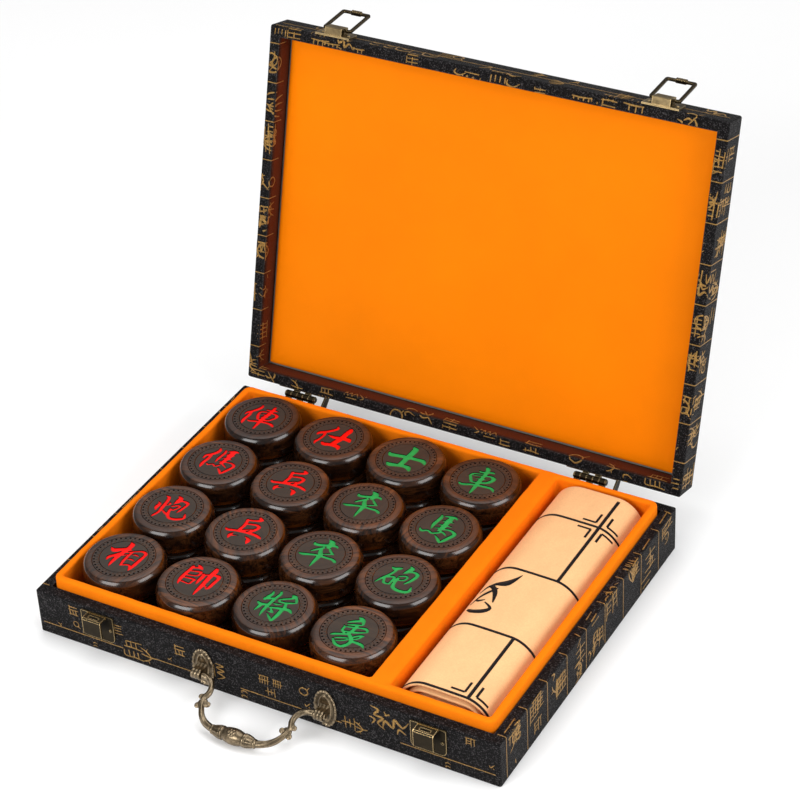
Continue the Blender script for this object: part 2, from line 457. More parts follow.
# ---- node graphs --------------------------------------------------------------------------------------
class Graph:
    """Adds nodes to one node tree. An input that is given as a socket is linked, others are set."""

    def __init__(self, tree):
        self.tree = tree

    def add(self, kind, inputs=None, **settings):
        node = self.tree.nodes.new(kind)
        for key, value in settings.items():
            setattr(node, key, value)
        for key, value in (inputs or {}).items():
            if isinstance(value, bpy.types.NodeSocket):
                self.tree.links.new(value, node.inputs[key])
            else:
                node.inputs[key].default_value = value
        return node

    def math(self, operation, a, b=0.0, clamp=False):
        node = self.add("ShaderNodeMath", {0: a, 1: b}, operation=operation, use_clamp=clamp)
        return node.outputs[0]

    def vector(self, operation, a, b=(0.0, 0.0, 0.0)):
        node = self.add("ShaderNodeVectorMath", {0: a, 1: b}, operation=operation)
        return node.outputs["Value" if operation in ("LENGTH", "DOT_PRODUCT") else "Vector"]

    def span(self, value, low, high, to_low=0.0, to_high=1.0):
        """Stretches low..high of a value to to_low..to_high, and holds it there outside."""
        names = ("Value", "From Min", "From Max", "To Min", "To Max")
        node = self.add("ShaderNodeMapRange", dict(zip(names, (value, low, high, to_low, to_high))))
        return node.outputs["Result"]

    def mix(self, factor, a, b):
        """Blends two colours."""
        a, b = (x if isinstance(x, bpy.types.NodeSocket) else (*tuple(x)[:3], 1.0) for x in (a, b))
        node = self.add("ShaderNodeMix", {0: factor, 6: a, 7: b}, data_type="RGBA")
        return node.outputs[2]

    def noise(self, place, scale, detail=3.0, rough=0.5, stretch=None, warp=0.0):
        if stretch:
            place = self.vector("MULTIPLY", place, stretch)
        inputs = {"Vector": place, "Scale": scale, "Detail": detail, "Roughness": rough, "Distortion": warp}
        return self.add("ShaderNodeTexNoise", inputs).outputs["Fac"]

    def place(self, kind="Object"):
        return self.add("ShaderNodeTexCoord").outputs[kind]

    def group(self, name, inputs=None):
        node = self.add("ShaderNodeGroup", node_tree=bpy.data.node_groups[name])
        for key, value in (inputs or {}).items():
            if isinstance(value, bpy.types.NodeSocket):
                self.tree.links.new(value, node.inputs[key])
            else:
                node.inputs[key].default_value = value
        return node.outputs

    def bump(self, height, distance, strength=1.0, normal=None):
        inputs = {"Height": height, "Distance": distance, "Strength": strength}
        if normal is not None:
            inputs["Normal"] = normal
        return self.add("ShaderNodeBump", inputs).outputs["Normal"]


def new_group(name, inputs, outputs, fill):
    """Makes a node group. fill(graph, input sockets) gives the sockets that go out, in order."""
    tree = bpy.data.node_groups.new(name, "ShaderNodeTree")
    for label, kind, default in inputs:
        socket = tree.interface.new_socket(label, in_out="INPUT", socket_type=kind)
        if default is not None:
            socket.default_value = default
    for label, kind in outputs:
        tree.interface.new_socket(label, in_out="OUTPUT", socket_type=kind)
    graph = Graph(tree)
    given = graph.add("NodeGroupInput")
    out = graph.add("NodeGroupOutput")
    for k, socket in enumerate(fill(graph, given.outputs)):
        tree.links.new(socket, out.inputs[k])
    return tree


def fill_weave(g, given):
    """Over-and-under threads, read on whichever plane the surface faces."""
    cells = g.vector("DIVIDE", given["Place"], given["Pitch"])
    xyz = g.add("ShaderNodeSeparateXYZ", {0: cells}).outputs
    facing = g.add("ShaderNodeSeparateXYZ", {0: g.vector("ABSOLUTE", g.place("Normal"))}).outputs
    across = [g.math("ABSOLUTE", g.math("SINE", g.math("MULTIPLY", xyz[k], math.pi))) for k in range(3)]
    checks = [g.math("FLOOR", xyz[k]) for k in range(3)]
    heights = []
    for u, v in ((1, 2), (0, 2), (0, 1)):
        even = g.math("FLOORED_MODULO", g.math("ADD", checks[u], checks[v]), 2.0)
        over = g.math("MULTIPLY", across[u], even)
        under = g.math("MULTIPLY", across[v], g.math("SUBTRACT", 1.0, even))
        heights.append(g.math("ADD", over, under))
    weights = [g.span(facing[k], 0.62, 0.76) for k in range(3)]
    total = g.math("ADD", g.math("ADD", weights[0], weights[1]), weights[2])
    parts = [g.math("MULTIPLY", h, w) for h, w in zip(heights, weights)]
    height = g.math("DIVIDE", g.math("ADD", g.math("ADD", parts[0], parts[1]), parts[2]), total)
    slubs = g.noise(given["Place"], 900.0, 2.0, 0.6)
    shade = g.math("MULTIPLY", height, g.span(slubs, 0.3, 0.7, 0.55, 1.0))
    return height, shade


def fill_mottle(g, given):
    """Soft patches."""
    fac = g.noise(given["Place"], given["Scale"], 4.0, 0.6)
    return (g.span(fac, given["Low"], given["High"]),)


def fill_edges(g, given):
    """1 on proud edges and 0 in hollows, broken up by a fine noise."""
    bent = g.add("ShaderNodeNewGeometry").outputs["Pointiness"]
    fine = g.noise(given["Place"], given["Scale"], 5.0, 0.65)
    wavy = g.math("ADD", bent, g.span(fine, 0.3, 0.7, -0.03, 0.03))
    return g.span(wavy, given["From"], given["To"]), g.span(wavy, 0.5, 0.44)


def fill_scratches(g, given):
    """Fine hairlines in two directions."""
    one = g.noise(given["Place"], given["Scale"], 2.0, 0.5, stretch=(1.0, 22.0, 3.0))
    two = g.noise(given["Place"], given["Scale"], 2.0, 0.5, stretch=(24.0, 1.5, 9.0))
    return (g.math("MAXIMUM", g.span(one, 0.62, 0.72), g.span(two, 0.64, 0.74)),)


def fill_grain(g, given):
    """Streaks of wood along the place's X axis, and dark pores in them."""
    place = given["Place"]
    streaks = g.noise(place, 260.0, 5.0, 0.62, stretch=(0.1, 1.0, 1.0), warp=1.2)
    bands = g.noise(place, 60.0, 2.0, 0.5, stretch=(0.16, 1.0, 0.8), warp=0.6)
    light = g.math("MULTIPLY", g.span(streaks, 0.38, 0.66), g.span(bands, 0.35, 0.65, 0.25, 1.0))
    pores = g.span(g.noise(place, 2400.0, 2.0, 0.5, stretch=(0.07, 1.0, 1.0)), 0.60, 0.70)
    return light, pores


def make_groups():
    place = ("Place", "NodeSocketVector", None)
    value = "NodeSocketFloat"
    new_group(
        "woven_threads",
        [place, ("Pitch", "NodeSocketVector", None)],
        [("Height", value), ("Shade", value)],
        fill_weave,
    )
    new_group(
        "mottle",
        [place, ("Scale", value, 40.0), ("Low", value, 0.35), ("High", value, 0.65)],
        [("Mask", value)],
        fill_mottle,
    )
    new_group(
        "worn_edges",
        [place, ("Scale", value, 500.0), ("From", value, 0.52), ("To", value, 0.6)],
        [("Proud", value), ("Hollow", value)],
        fill_edges,
    )
    new_group("hairlines", [place, ("Scale", value, 300.0)], [("Mask", value)], fill_scratches)
    new_group("wood_grain", [place], [("Light", value), ("Pores", value)], fill_grain)


def material(name, **constants):
    """A new material with one Principled shader, whose constants are set on its own sockets."""
    made = bpy.data.materials.new(name)
    made.use_nodes = True
    tree = made.node_tree
    tree.nodes.clear()
    graph = Graph(tree)
    shader = graph.add("ShaderNodeBsdfPrincipled")
    for key, value in constants.items():
        socket = shader.inputs[key.replace("_", " ")]
        socket.default_value = (*value, 1.0) if hasattr(value, "__len__") and len(value) == 3 else value
    out = graph.add("ShaderNodeOutputMaterial")
    tree.links.new(shader.outputs["BSDF"], out.inputs["Surface"])
    return made, graph, shader


def feed(graph, shader, **sockets):
    for key, socket in sockets.items():
        graph.tree.links.new(socket, shader.inputs[key.replace("_", " ")])


def tint(base, factor):
    return tuple(min(1.0, x * factor) for x in base)


def edge_mask(g, radius):
    """1 on sharp edges, fading to 0 within a radius in millimetres."""
    rounded = g.add("ShaderNodeBevel", {"Radius": radius * MM}, samples=6).outputs["Normal"]
    square = g.add("ShaderNodeNewGeometry").outputs["Normal"]
    return g.span(g.vector("DOT_PRODUCT", rounded, square), 0.985, 0.84)


def cloth_material(name, ground, pitch, gold=False):
    """Woven cloth: dark ground threads, or metallic figure threads."""
    made, g, shader = material(
        name,
        Specular_IOR_Level=0.06 if not gold else 0.5,
        Sheen_Weight=0.01 if not gold else 0.0,
        Sheen_Roughness=0.45,
        Sheen_Tint=(0.55, 0.55, 0.62),
    )
    place = g.place()
    weave = g.group("woven_threads", {"Place": place, "Pitch": (pitch, pitch, pitch)})
    patches = g.group("mottle", {"Place": place, "Scale": 55.0, "Low": 0.3, "High": 0.7})["Mask"]
    low, high = (tint(ground, 0.35), tint(ground, 1.9)) if not gold else (tint(ground, 0.3), tint(ground, 1.5))
    base = g.mix(weave["Shade"], low, high)
    specks = g.span(g.noise(place, 1100.0, 2.0, 0.7), 0.56, 0.64)
    base = g.mix(g.math("MULTIPLY", specks, 0.9), base, tint(ground, 30.0 if not gold else 2.2))
    base = g.mix(g.math("MULTIPLY", patches, 0.35), base, tint(ground, 1.25))
    if not gold:
        hinge = (0.0, HINGE_Y * MM, HINGE_Z * MM)
        into = (0.0, math.sin(LID_ANGLE), math.cos(LID_ANGLE))
        depth = g.vector("DOT_PRODUCT", g.vector("SUBTRACT", place, hinge), into)
        glow = g.math("MULTIPLY", g.span(depth, 0.9 * MM, 5.0 * MM, 0.0, 0.8), g.math("LESS_THAN", depth, 16.0 * MM))
        for axis, half in (((1.0, 0.0, 0.0), HALF_W), ((0.0, into[2], -into[1]), 0.0)):
            aside = g.vector("DOT_PRODUCT", g.vector("SUBTRACT", place, hinge if not half else (0.0, 0.0, 0.0)), axis)
            aside = g.math("ABSOLUTE", aside if half else g.math("ADD", aside, HINGE_Y * MM))
            glow = g.math("MULTIPLY", glow, g.math("LESS_THAN", aside, ((half or HALF_D) - WALL + 0.8) * MM))
        base = g.mix(glow, base, (0.13, 0.026, 0.006))
        rubbed = g.math("MULTIPLY", edge_mask(g, RUBBED), g.span(g.noise(place, 500.0, 3.0), 0.35, 0.65, 0.15, 1.0))
        base = g.mix(g.math("MULTIPLY", rubbed, 0.7), base, tint(ground, 22.0))
    rough = g.span(weave["Shade"], 0.0, 1.0, 0.62, 0.44) if not gold else g.span(weave["Shade"], 0, 1, 0.55, 0.3)
    feed(g, shader, Base_Color=base, Roughness=rough, Normal=g.bump(weave["Height"], pitch * 0.45, 0.8))
    if gold:
        feed(g, shader, Metallic=g.span(weave["Shade"], 0.0, 0.6, 0.25, 0.7))
    return made


def pile_material(name, ground, satin=False):
    """Velvet with a short pile that leans in soft patches, or a satin with a fine cross grain."""
    made, g, shader = material(
        name,
        Specular_IOR_Level=0.04,
        Sheen_Weight=0.15 if not satin else 0.0,
        Sheen_Roughness=0.35,
        Sheen_Tint=(1.0, 0.45, 0.08),
    )
    place = g.place()
    lean = g.group("mottle", {"Place": place, "Scale": 38.0 if not satin else 9.0, "Low": 0.25, "High": 0.75})["Mask"]
    nap = g.noise(place, 2600.0, 2.0, 0.7)
    base = g.mix(lean, tint(ground, 0.9), tint(ground, 1.04))
    base = g.mix(g.span(nap, 0.35, 0.65, 0.0, 0.28 if not satin else 0.12), base, tint(ground, 0.72))
    height = nap
    if satin:
        height = g.group("woven_threads", {"Place": place, "Pitch": (0.3 * MM, 0.3 * MM, 0.3 * MM)})["Height"]
    feed(
        g,
        shader,
        Base_Color=base,
        Roughness=g.span(lean, 0.0, 1.0, 0.95, 0.84) if not satin else g.span(nap, 0.3, 0.7, 0.62, 0.5),
        Normal=g.bump(height, 0.12 * MM if not satin else 0.04 * MM, 0.7),
    )
    return made


def metal_material(name, bare, patina, roughness, wear=(0.49, 0.56), film_range=None):
    """Aged metal: bare on proud edges, a dark film elsewhere, fine hairlines.

    Folded sheet has a film_range. Cast metal has none, and its film gathers in the hollows.
    """
    cast_skin = film_range is None
    made, g, shader = material(name, Specular_IOR_Level=0.5, Metallic=1.0)
    place = g.place()
    edges = g.group("worn_edges", {"Place": place, "Scale": 700.0, "From": wear[0], "To": wear[1]})
    patches = g.group("mottle", {"Place": place, "Scale": 160.0, "Low": 0.35, "High": 0.7})["Mask"]
    lines = g.group("hairlines", {"Place": place, "Scale": 420.0})["Mask"]
    film = g.math("MULTIPLY", g.math("SUBTRACT", 1.0, edges["Proud"]), g.span(patches, 0.0, 1.0, 0.5, 0.95))
    film = g.math("MAXIMUM", film, edges["Hollow"], clamp=True)
    if not cast_skin:
        film = g.math("SUBTRACT", g.span(patches, 0.0, 1.0, *film_range), edge_mask(g, EDGE_WEAR), clamp=True)
    film = g.math("SUBTRACT", film, g.math("MULTIPLY", lines, 0.15 if cast_skin else 0.04), clamp=True)
    base = g.mix(g.math("MULTIPLY", film, 0.985), bare, patina)
    rough = g.math("ADD", g.span(film, 0.0, 1.0, roughness, roughness + 0.22), g.math("MULTIPLY", lines, 0.08))
    pits = g.noise(place, 1500.0 if not cast_skin else 700.0, 4.0, 0.6)
    feed(
        g,
        shader,
        Base_Color=base,
        Roughness=rough,
        Normal=g.bump(pits, 0.02 * MM if not cast_skin else 0.06 * MM, 0.6),
    )
    return made


def board_material(name, ground, fibre):
    """Grey board or paper, with short fibres."""
    made, g, shader = material(name, Specular_IOR_Level=0.2)
    place = g.place()
    patches = g.group("mottle", {"Place": place, "Scale": 120.0, "Low": 0.3, "High": 0.7})["Mask"]
    fibres = g.span(g.noise(place, fibre, 3.0, 0.6, stretch=(1.0, 4.0, 1.0)), 0.45, 0.7)
    base = g.mix(patches, tint(ground, 0.85), tint(ground, 1.1))
    base = g.mix(g.math("MULTIPLY", fibres, 0.5), base, tint(ground, 0.6))
    feed(
        g,
        shader,
        Base_Color=base,
        Roughness=g.span(patches, 0.0, 1.0, 0.8, 0.95),
        Normal=g.bump(fibres, 0.05 * MM, 0.5),
    )
    return made


# ---- shapes -------------------------------------------------------------------------------------------
def flow(points, steps):
    """Samples a smooth line through points (Catmull-Rom). A point may hold a width as well."""
    rows = [np.array(p, float) for p in (points[0], *points, points[-1])]
    out = []
    for a, b, c, d in zip(rows, rows[1:], rows[2:], rows[3:]):
        for n in range(steps):
            t = n / steps
            bend = (2 * a - 5 * b + 4 * c - d) * t**2 + (3 * b - a - 3 * c + d) * t**3
            out.append(0.5 * (2 * b + (c - a) * t + bend))
    out.append(rows[-1])
    return out


def arc(start, middle, end, count):
    """Points on the arc through three points of a plane, both ends included."""
    a, b, c = (complex(*p) for p in (start, middle, end))
    w = (c - a) / (b - a)
    centre = a + (b - a) * (w - abs(w) ** 2) / (2j * w.imag)
    first, last = (cmath.phase(p - centre) for p in (a, c))
    way = 1 if ((b - a).conjugate() * (c - b)).imag > 0 else -1
    sweep = (last - first) * way % (2 * math.pi) * way
    turns = (first + sweep * k / count for k in range(count + 1))
    return [(centre.real + abs(a - centre) * math.cos(t), centre.imag + abs(a - centre) * math.sin(t)) for t in turns]


def circle(radius, count, centre=(0.0, 0.0), start=0.0):
    turns = [start + 2 * math.pi * k / count for k in range(count)]
    return [(centre[0] + radius * math.cos(t), centre[1] + radius * math.sin(t)) for t in turns]


def capsule(line):
    """Outline round a short line of (x, y, width) samples, with round ends, anticlockwise."""
    line = np.array(line)
    ahead = np.gradient(line[:, :2], axis=0)
    ahead /= np.maximum(np.linalg.norm(ahead, axis=1, keepdims=True), 1e-6)
    side = np.stack([-ahead[:, 1], ahead[:, 0]], 1) * line[:, 2:3] / 2
    left, right = line[:, :2] + side, line[:, :2] - side

    def cap(centre, from_side):
        turn = math.atan2(from_side[1], from_side[0])
        radius = float(np.hypot(*from_side))
        return [
            (centre[0] + radius * math.cos(turn - math.pi * k / 5), centre[1] + radius * math.sin(turn - math.pi * k / 5))
            for k in range(1, 5)
        ]

    outline = [*left, *cap(line[-1], side[-1]), *right[::-1], *cap(line[0], -side[0])]
    return [tuple(map(float, p)) for p in outline[::-1]]


def grid_faces(rows, columns, wrap_rows=False, wrap_columns=False, start=0):
    """Quads of a grid of points that is stored row by row."""
    faces = []
    for r in range(rows - (not wrap_rows)):
        for c in range(columns - (not wrap_columns)):
            near, far = r * columns, (r + 1) % rows * columns
            right = (c + 1) % columns
            faces.append(tuple(start + k for k in (near + c, near + right, far + right, far + c)))
    return faces


def lofted(loops):
    """A closed solid through loops with as many points each, capped at both ends."""
    count = len(loops[0])
    points = [tuple(map(float, p)) for loop in loops for p in loop]
    faces = grid_faces(len(loops), count, wrap_columns=True)
    faces.append(tuple(range(count))[::-1])
    faces.append(tuple(range(len(points) - count, len(points))))
    return points, faces


def tube(line, sides=16, flutes=0, depth=0.0, twist=0.0):
    """A round bar along (x, y, z, radius) samples, with flutes that may twist round it."""
    line = np.array(line, float)
    ahead = np.gradient(line[:, :3], axis=0)
    ahead /= np.linalg.norm(ahead, axis=1, keepdims=True)
    start = np.cross(ahead[0], (0.31, 0.2, 0.93))
    loops = []
    for k, (sample, way) in enumerate(zip(line, ahead)):
        start = start - way * np.dot(start, way)
        start /= np.linalg.norm(start)
        over = np.cross(way, start)
        loop = []
        for s in range(sides):
            t = 2 * math.pi * s / sides
            radius = sample[3] * (1.0 - depth * (0.5 + 0.5 * math.cos(flutes * t + twist * k)))
            loop.append(sample[:3] + radius * (math.cos(t) * start + math.sin(t) * over))
        loops.append(loop)
    return lofted(loops)


def ball(centre, size, sides=16):
    """An ellipsoid with a size along each axis."""
    rings = [
        [
            tuple(c + s * v for c, s, v in zip(centre, size, (math.sin(b) * x, math.sin(b) * y, math.cos(b))))
            for x, y in circle(1.0, sides)
        ]
        for b in (math.pi * (k + 0.1) / (sides / 2) for k in range(sides // 2, -1, -1))
        if 0.0 < b < math.pi
    ]
    return lofted(rings)


def joined(parts):
    """Points and faces of several solids together."""
    points, faces = [], []
    for some_points, some_faces in parts:
        faces += [tuple(len(points) + k for k in face) for face in some_faces]
        points += list(some_points)
    return points, faces


def tidy_mesh(made, weld=0.0, smooth=0):
    """Welds close points and turns the faces outwards."""
    bm = bmesh.new()
    bm.from_mesh(made.data)
    if weld:
        bmesh.ops.remove_doubles(bm, verts=bm.verts, dist=weld)
    for _ in range(smooth):
        bmesh.ops.smooth_vert(bm, verts=bm.verts, factor=0.5, use_axis_x=True, use_axis_y=True, use_axis_z=True)
    bmesh.ops.recalc_face_normals(bm, faces=bm.faces)
    bm.to_mesh(made.data)
    bm.free()
    made.data.update()


def cast(made, voxel, smooth=2):
    """Joins a piece's overlapping solids into one skin, as a casting has."""
    remesh = made.modifiers.new("one_skin", "REMESH")
    remesh.mode = "VOXEL"
    remesh.voxel_size = voxel * MM
    kept = list(made.data.materials)
    whole = bpy.data.meshes.new_from_object(made.evaluated_get(bpy.context.evaluated_depsgraph_get()))
    made.modifiers.clear()
    made.data = whole
    whole.materials.clear()
    for one in kept:
        whole.materials.append(one)
    tidy_mesh(made, smooth=smooth)
    whole.polygons.foreach_set("use_smooth", [True] * len(whole.polygons))


def brush(strokes, surface, lift=0.08):
    """Thin raised ribbons along strokes of (u, v, width), laid on surface(u, v) -> (point, normal)."""
    parts = []
    for k, stroke in enumerate(strokes):
        line = np.array(flow(stroke, 4))
        ahead = np.gradient(line[:, :2], axis=0)
        ahead /= np.maximum(np.linalg.norm(ahead, axis=1, keepdims=True), 1e-6)
        side = np.stack([-ahead[:, 1], ahead[:, 0]], 1) * line[:, 2:3] / 2
        high = lift * (1.0 + 0.16 * (k % 7))
        loops = []
        for middle, half in zip(line[:, :2], side):
            point, normal = surface(*middle)
            left, right = surface(*(middle + half))[0], surface(*(middle - half))[0]
            loops.append([left + 0.3 * high * normal, point + high * normal, right + 0.3 * high * normal, point - 0.1 * normal])
        parts.append(lofted(loops))
    return joined(parts)


def opened(points):
    """Moves points of the closed lid to where the lid stands open, at rest."""
    angle = LID_ANGLE
    out = []
    for x, y, z in points:
        a, b = y - HINGE_Y, z - HINGE_Z
        out.append(
            (x, HINGE_Y + a * math.cos(angle) + b * math.sin(angle), HINGE_Z - a * math.sin(angle) + b * math.cos(angle))
        )
    return out


def rounded_loop(x, y, z, radius, step=3.0):
    """Points round a rectangle with rounded corners, at one height, anticlockwise."""
    corners = (
        (x[1] - radius, y[0] + radius, -90),
        (x[1] - radius, y[1] - radius, 0),
        (x[0] + radius, y[1] - radius, 90),
        (x[0] + radius, y[0] + radius, 180),
    )
    out = []
    for k, (cx, cy, turn) in enumerate(corners):
        for n in range(9):
            t = math.radians(turn + 90 * n / 8)
            out.append((cx + radius * math.cos(t), cy + radius * math.sin(t), z))
        nx, ny, after = corners[(k + 1) % 4]
        t = math.radians(after)
        start, end = out[-1], (nx + radius * math.cos(t), ny + radius * math.sin(t), z)
        count = LOOP_STEPS[k % 2]
        for n in range(1, count):
            out.append(tuple(a + (b - a) * n / count for a, b in zip(start, end)))
    return out


# ---- meshes -------------------------------------------------------------------------------------------
def new_piece(name, points, faces, body, materials, smooth=True, slots=None, stands_for=(), slot=None):
    """Makes a piece from points in millimetres, gives it materials, and lets it ride on a body."""
    mesh = bpy.data.meshes.new(name)
    mesh.from_pydata([tuple(c * MM for c in p) for p in points], [], faces)
    for one in materials:
        mesh.materials.append(one)
    if slots is not None:
        mesh.polygons.foreach_set("material_index", slots)
    mesh.polygons.foreach_set("use_smooth", [smooth] * len(mesh.polygons))
    mesh.update()
    made = bpy.data.objects.new(name, mesh)
    bpy.context.scene.collection.objects.link(made)
    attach(made, body)
    if stands_for:
        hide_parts(*stands_for)
    return made


def dress(nodes, made):
    """Gives CAD nodes a material."""
    for name in nodes:
        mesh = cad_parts[name].data
        mesh.materials.clear()
        mesh.materials.append(made)


def settings():
    return bpy.context.scene.xiangqi_box


# ---- playing pieces -----------------------------------------------------------------------------------
def carved_face(strokes):
    """A playing piece's flat face with its two engraved circles, ring of dots, ring of curls and character.

    Gives points, faces and material slots, with the face's own level at zero.
    """
    plan, edges, outlines, kinds = [], [], [], []

    def outline(loop, kind=None):
        start = len(plan)
        plan.extend(loop)
        edges.extend((start + k, start + (k + 1) % len(loop)) for k in range(len(loop)))
        if kind:
            outlines.append(list(range(start, start + len(loop))))
            kinds.append(kind)

    outline(circle(FACE_R, DRUM_SIDES))
    for radius in GROOVES_R:
        for n, part in enumerate((-GROOVE_HALF, 0.0, GROOVE_HALF)):
            outline(circle(radius + part, DRUM_SIDES, start=n * math.pi / DRUM_SIDES))
    for k in range(DOTS):
        t = 2 * math.pi * k / DOTS
        outline(circle(DOT_R, 8, (DOTS_R * math.cos(t), DOTS_R * math.sin(t))), "dot")
        t += math.pi / DOTS
        x, y = CURLS_R * math.cos(t), CURLS_R * math.sin(t)
        turns = [t + math.radians(130 + 230 * n / 7) for n in range(8)]
        outline(capsule([(x + 0.55 * math.cos(a), y + 0.55 * math.sin(a), 0.34) for a in turns]), "curl")
    for stroke in strokes:
        line = flow([[value / 10 for value in point] for point in stroke], 3)
        for k in range(0, len(line) - 1, 3):
            outline(capsule(line[k : k + 4]), "paint")

    points, _, faces, _, _, sources = delaunay_2d_cdt([Vector(p) for p in plan], edges, outlines, 0, 1e-4, True)
    order = ("top", "curl", "dot", "paint")
    levels = [max((kinds[s] for s in held), key=order.index, default="top") for held in sources]
    made, out, slots, corners = [], [], [], {}

    def corner(k, kind):
        if (k, kind) not in corners:
            depth = CARVED[kind]
            if kind == "top" and any(abs(points[k].length - r) < 0.04 for r in GROOVES_R):
                depth = CARVED["groove"]
            corners[k, kind] = len(made)
            made.append((points[k].x, points[k].y, -depth))
        return corners[k, kind]

    beside = {}
    for face, kind in zip(faces, levels):
        out.append([corner(k, kind) for k in face])
        slots.append({"top": 0, "curl": 3, "dot": 2, "paint": 1}[kind])
        for a, b in zip(face, face[1:] + face[:1]):
            beside[a, b] = kind
    for (a, b), kind in beside.items():
        lower = beside.get((b, a), kind)
        if CARVED[kind] < CARVED[lower]:
            out.append([corner(b, kind), corner(a, kind), corner(a, lower), corner(b, lower)])
            slots.append(2)
    return made, out, slots


def drum(strokes, plain_face):
    """A whole playing piece round its own centre, with the character on top."""
    top, top_faces, top_slots = carved_face(strokes)
    low, low_faces, low_slots = plain_face
    half = PIECE_T / 2
    shoulder, drop = SHOULDER
    slope = arc((FACE_R, half), ((FACE_R + shoulder) / 2, half - 0.2), (shoulder, drop), 4)
    turn = arc((shoulder, drop), (27.95, 7.7), (28.85, 3.6), 10)
    waist = arc((28.85, 3.6), (28.96, 1.8), (PIECE_D / 2, 0.0), 2)
    upper = slope[:-1] + turn[:-1] + waist
    profile = upper + [(r, -z) for r, z in upper[-2::-1]]
    side = [(x, y, z) for r, z in profile for x, y in circle(r, DRUM_SIDES)]
    rows = grid_faces(len(profile), DRUM_SIDES, wrap_columns=True)
    points = [(x, y, z + half) for x, y, z in top] + [(x, -y, -z - half) for x, y, z in low]
    faces = top_faces + [[k + len(top) for k in face] for face in low_faces]
    faces += [[k + len(points) for k in reversed(face)] for face in rows]
    return points + side, faces, top_slots + low_slots + [0] * len(rows)


def playing_piece(name, shape, centres, body, materials, stands_for, dice):
    """Puts one drum, or a layer of them, where the CAD has them, each with a grain of its own."""
    points, faces, slots, grain, smooth = [], [], [], [], []
    for (local, some_faces, some_slots), (cx, cy, cz) in zip(shape, centres):
        turn, shift = dice.uniform(0, math.pi), dice.uniform(1, 60)
        faces += [[len(points) + k for k in face] for face in some_faces]
        slots += some_slots
        sides = DRUM_SIDES * SIDE_ROWS
        smooth += [k >= len(some_faces) - sides for k in range(len(some_faces))]
        for x, y, z in local:
            points.append((x + cx, y + cy, z + cz))
            along, across = x * math.cos(turn) - y * math.sin(turn), x * math.sin(turn) + y * math.cos(turn)
            grain.append((along * MM, across * MM, z * MM + shift))
    made = new_piece(name, points, faces, body, materials, slots=slots, stands_for=stands_for, slot="rosewood")
    places = made.data.attributes.new("grain", "FLOAT_VECTOR", "POINT")
    places.data.foreach_set("vector", [v for place in grain for v in place])
    made.data.polygons.foreach_set("use_smooth", smooth)
    tidy_weld(made)
    return made


def tidy_weld(made):
    """Welds the faces of a playing piece to its side."""
    bm = bmesh.new()
    bm.from_mesh(made.data)
    bmesh.ops.remove_doubles(bm, verts=bm.verts, dist=0.004 * MM)
    bm.to_mesh(made.data)
    bm.free()
    made.data.update()


def rosewood_material(wood):
    """Varnished wood: near black on the side, red-brown round the rim, greyer inside the engraved circle."""
    made, g, shader = material("rosewood", Specular_IOR_Level=0.55)
    place = g.add("ShaderNodeAttribute", attribute_name="grain").outputs["Vector"]
    xyz = g.add("ShaderNodeSeparateXYZ", {0: place}).outputs
    radius = g.math("SQRT", g.math("ADD", g.math("MULTIPLY", xyz[0], xyz[0]), g.math("MULTIPLY", xyz[1], xyz[1])))
    flat = g.vector("ABSOLUTE", g.place("Normal"))
    flat = g.span(g.add("ShaderNodeSeparateXYZ", {0: flat}).outputs[2], 0.8, 0.97)
    inside = g.math("MULTIPLY", flat, g.span(radius, 0.0166, 0.0218, 1.0, 0.35))
    inside = g.math("MULTIPLY", inside, g.span(radius, 0.0215, 0.0218, 1.0, 0.0))
    grain = g.group("wood_grain", {"Place": place})
    tone = g.span(g.noise(place, 1.3, 0.0, stretch=(0.0, 0.0, 1.0)), 0.36, 0.62)
    light = g.math("MULTIPLY", grain["Light"], g.math("ADD", 0.3, g.math("MULTIPLY", tone, 0.7)))
    side = g.mix(light, tuple(wood.dark), tint(wood.light, 1.3))
    rim = g.mix(light, tint(wood.light, 0.16), tint(wood.light, 2.3))
    face = g.mix(light, tint(wood.face, 0.9), tint(wood.face, 2.2))
    base = g.mix(flat, side, rim)
    base = g.mix(inside, base, face)
    base = g.mix(g.math("MULTIPLY", grain["Pores"], 0.6), base, tint(wood.dark, 0.6))
    gloss = g.math("ADD", 0.17, g.math("MULTIPLY", flat, 0.3))
    gloss = g.math("ADD", gloss, g.math("MULTIPLY", inside, 0.2))
    gloss = g.math("ADD", gloss, g.math("MULTIPLY", grain["Light"], 0.04))
    pores = g.math("MULTIPLY", grain["Pores"], flat)
    feed(g, shader, Base_Color=base, Roughness=gloss, Normal=g.bump(pores, 0.05 * MM, 0.4))
    return made


def paint_material(name, ground):
    """Thick brushed paint that fills a carved character."""
    made, g, shader = material(name, Specular_IOR_Level=0.15)
    place = g.place()
    streaks = g.noise(place, 900.0, 3.0, 0.6, stretch=(1.0, 0.3, 1.0))
    patches = g.group("mottle", {"Place": place, "Scale": 260.0, "Low": 0.3, "High": 0.7})["Mask"]
    base = g.mix(patches, tint(ground, 0.82), tint(ground, 1.1))
    feed(
        g,
        shader,
        Base_Color=base,
        Roughness=g.span(streaks, 0.3, 0.7, 0.34, 0.5),
        Normal=g.bump(streaks, 0.12 * MM, 0.6),
    )
    return made


def bare_material(name, ground):
    """Burnt or cut wood in the engraved marks."""
    made, g, shader = material(name, Specular_IOR_Level=0.05)
    place = g.place()
    patches = g.group("mottle", {"Place": place, "Scale": 900.0, "Low": 0.3, "High": 0.7})["Mask"]
    fine = g.noise(place, 3000.0, 2.0)
    feed(
        g,
        shader,
        Base_Color=g.mix(patches, tint(ground, 0.6), tint(ground, 1.4)),
        Roughness=g.span(patches, 0.0, 1.0, 0.6, 0.8),
        Normal=g.bump(fine, 0.05 * MM, 0.5),
    )
    return made


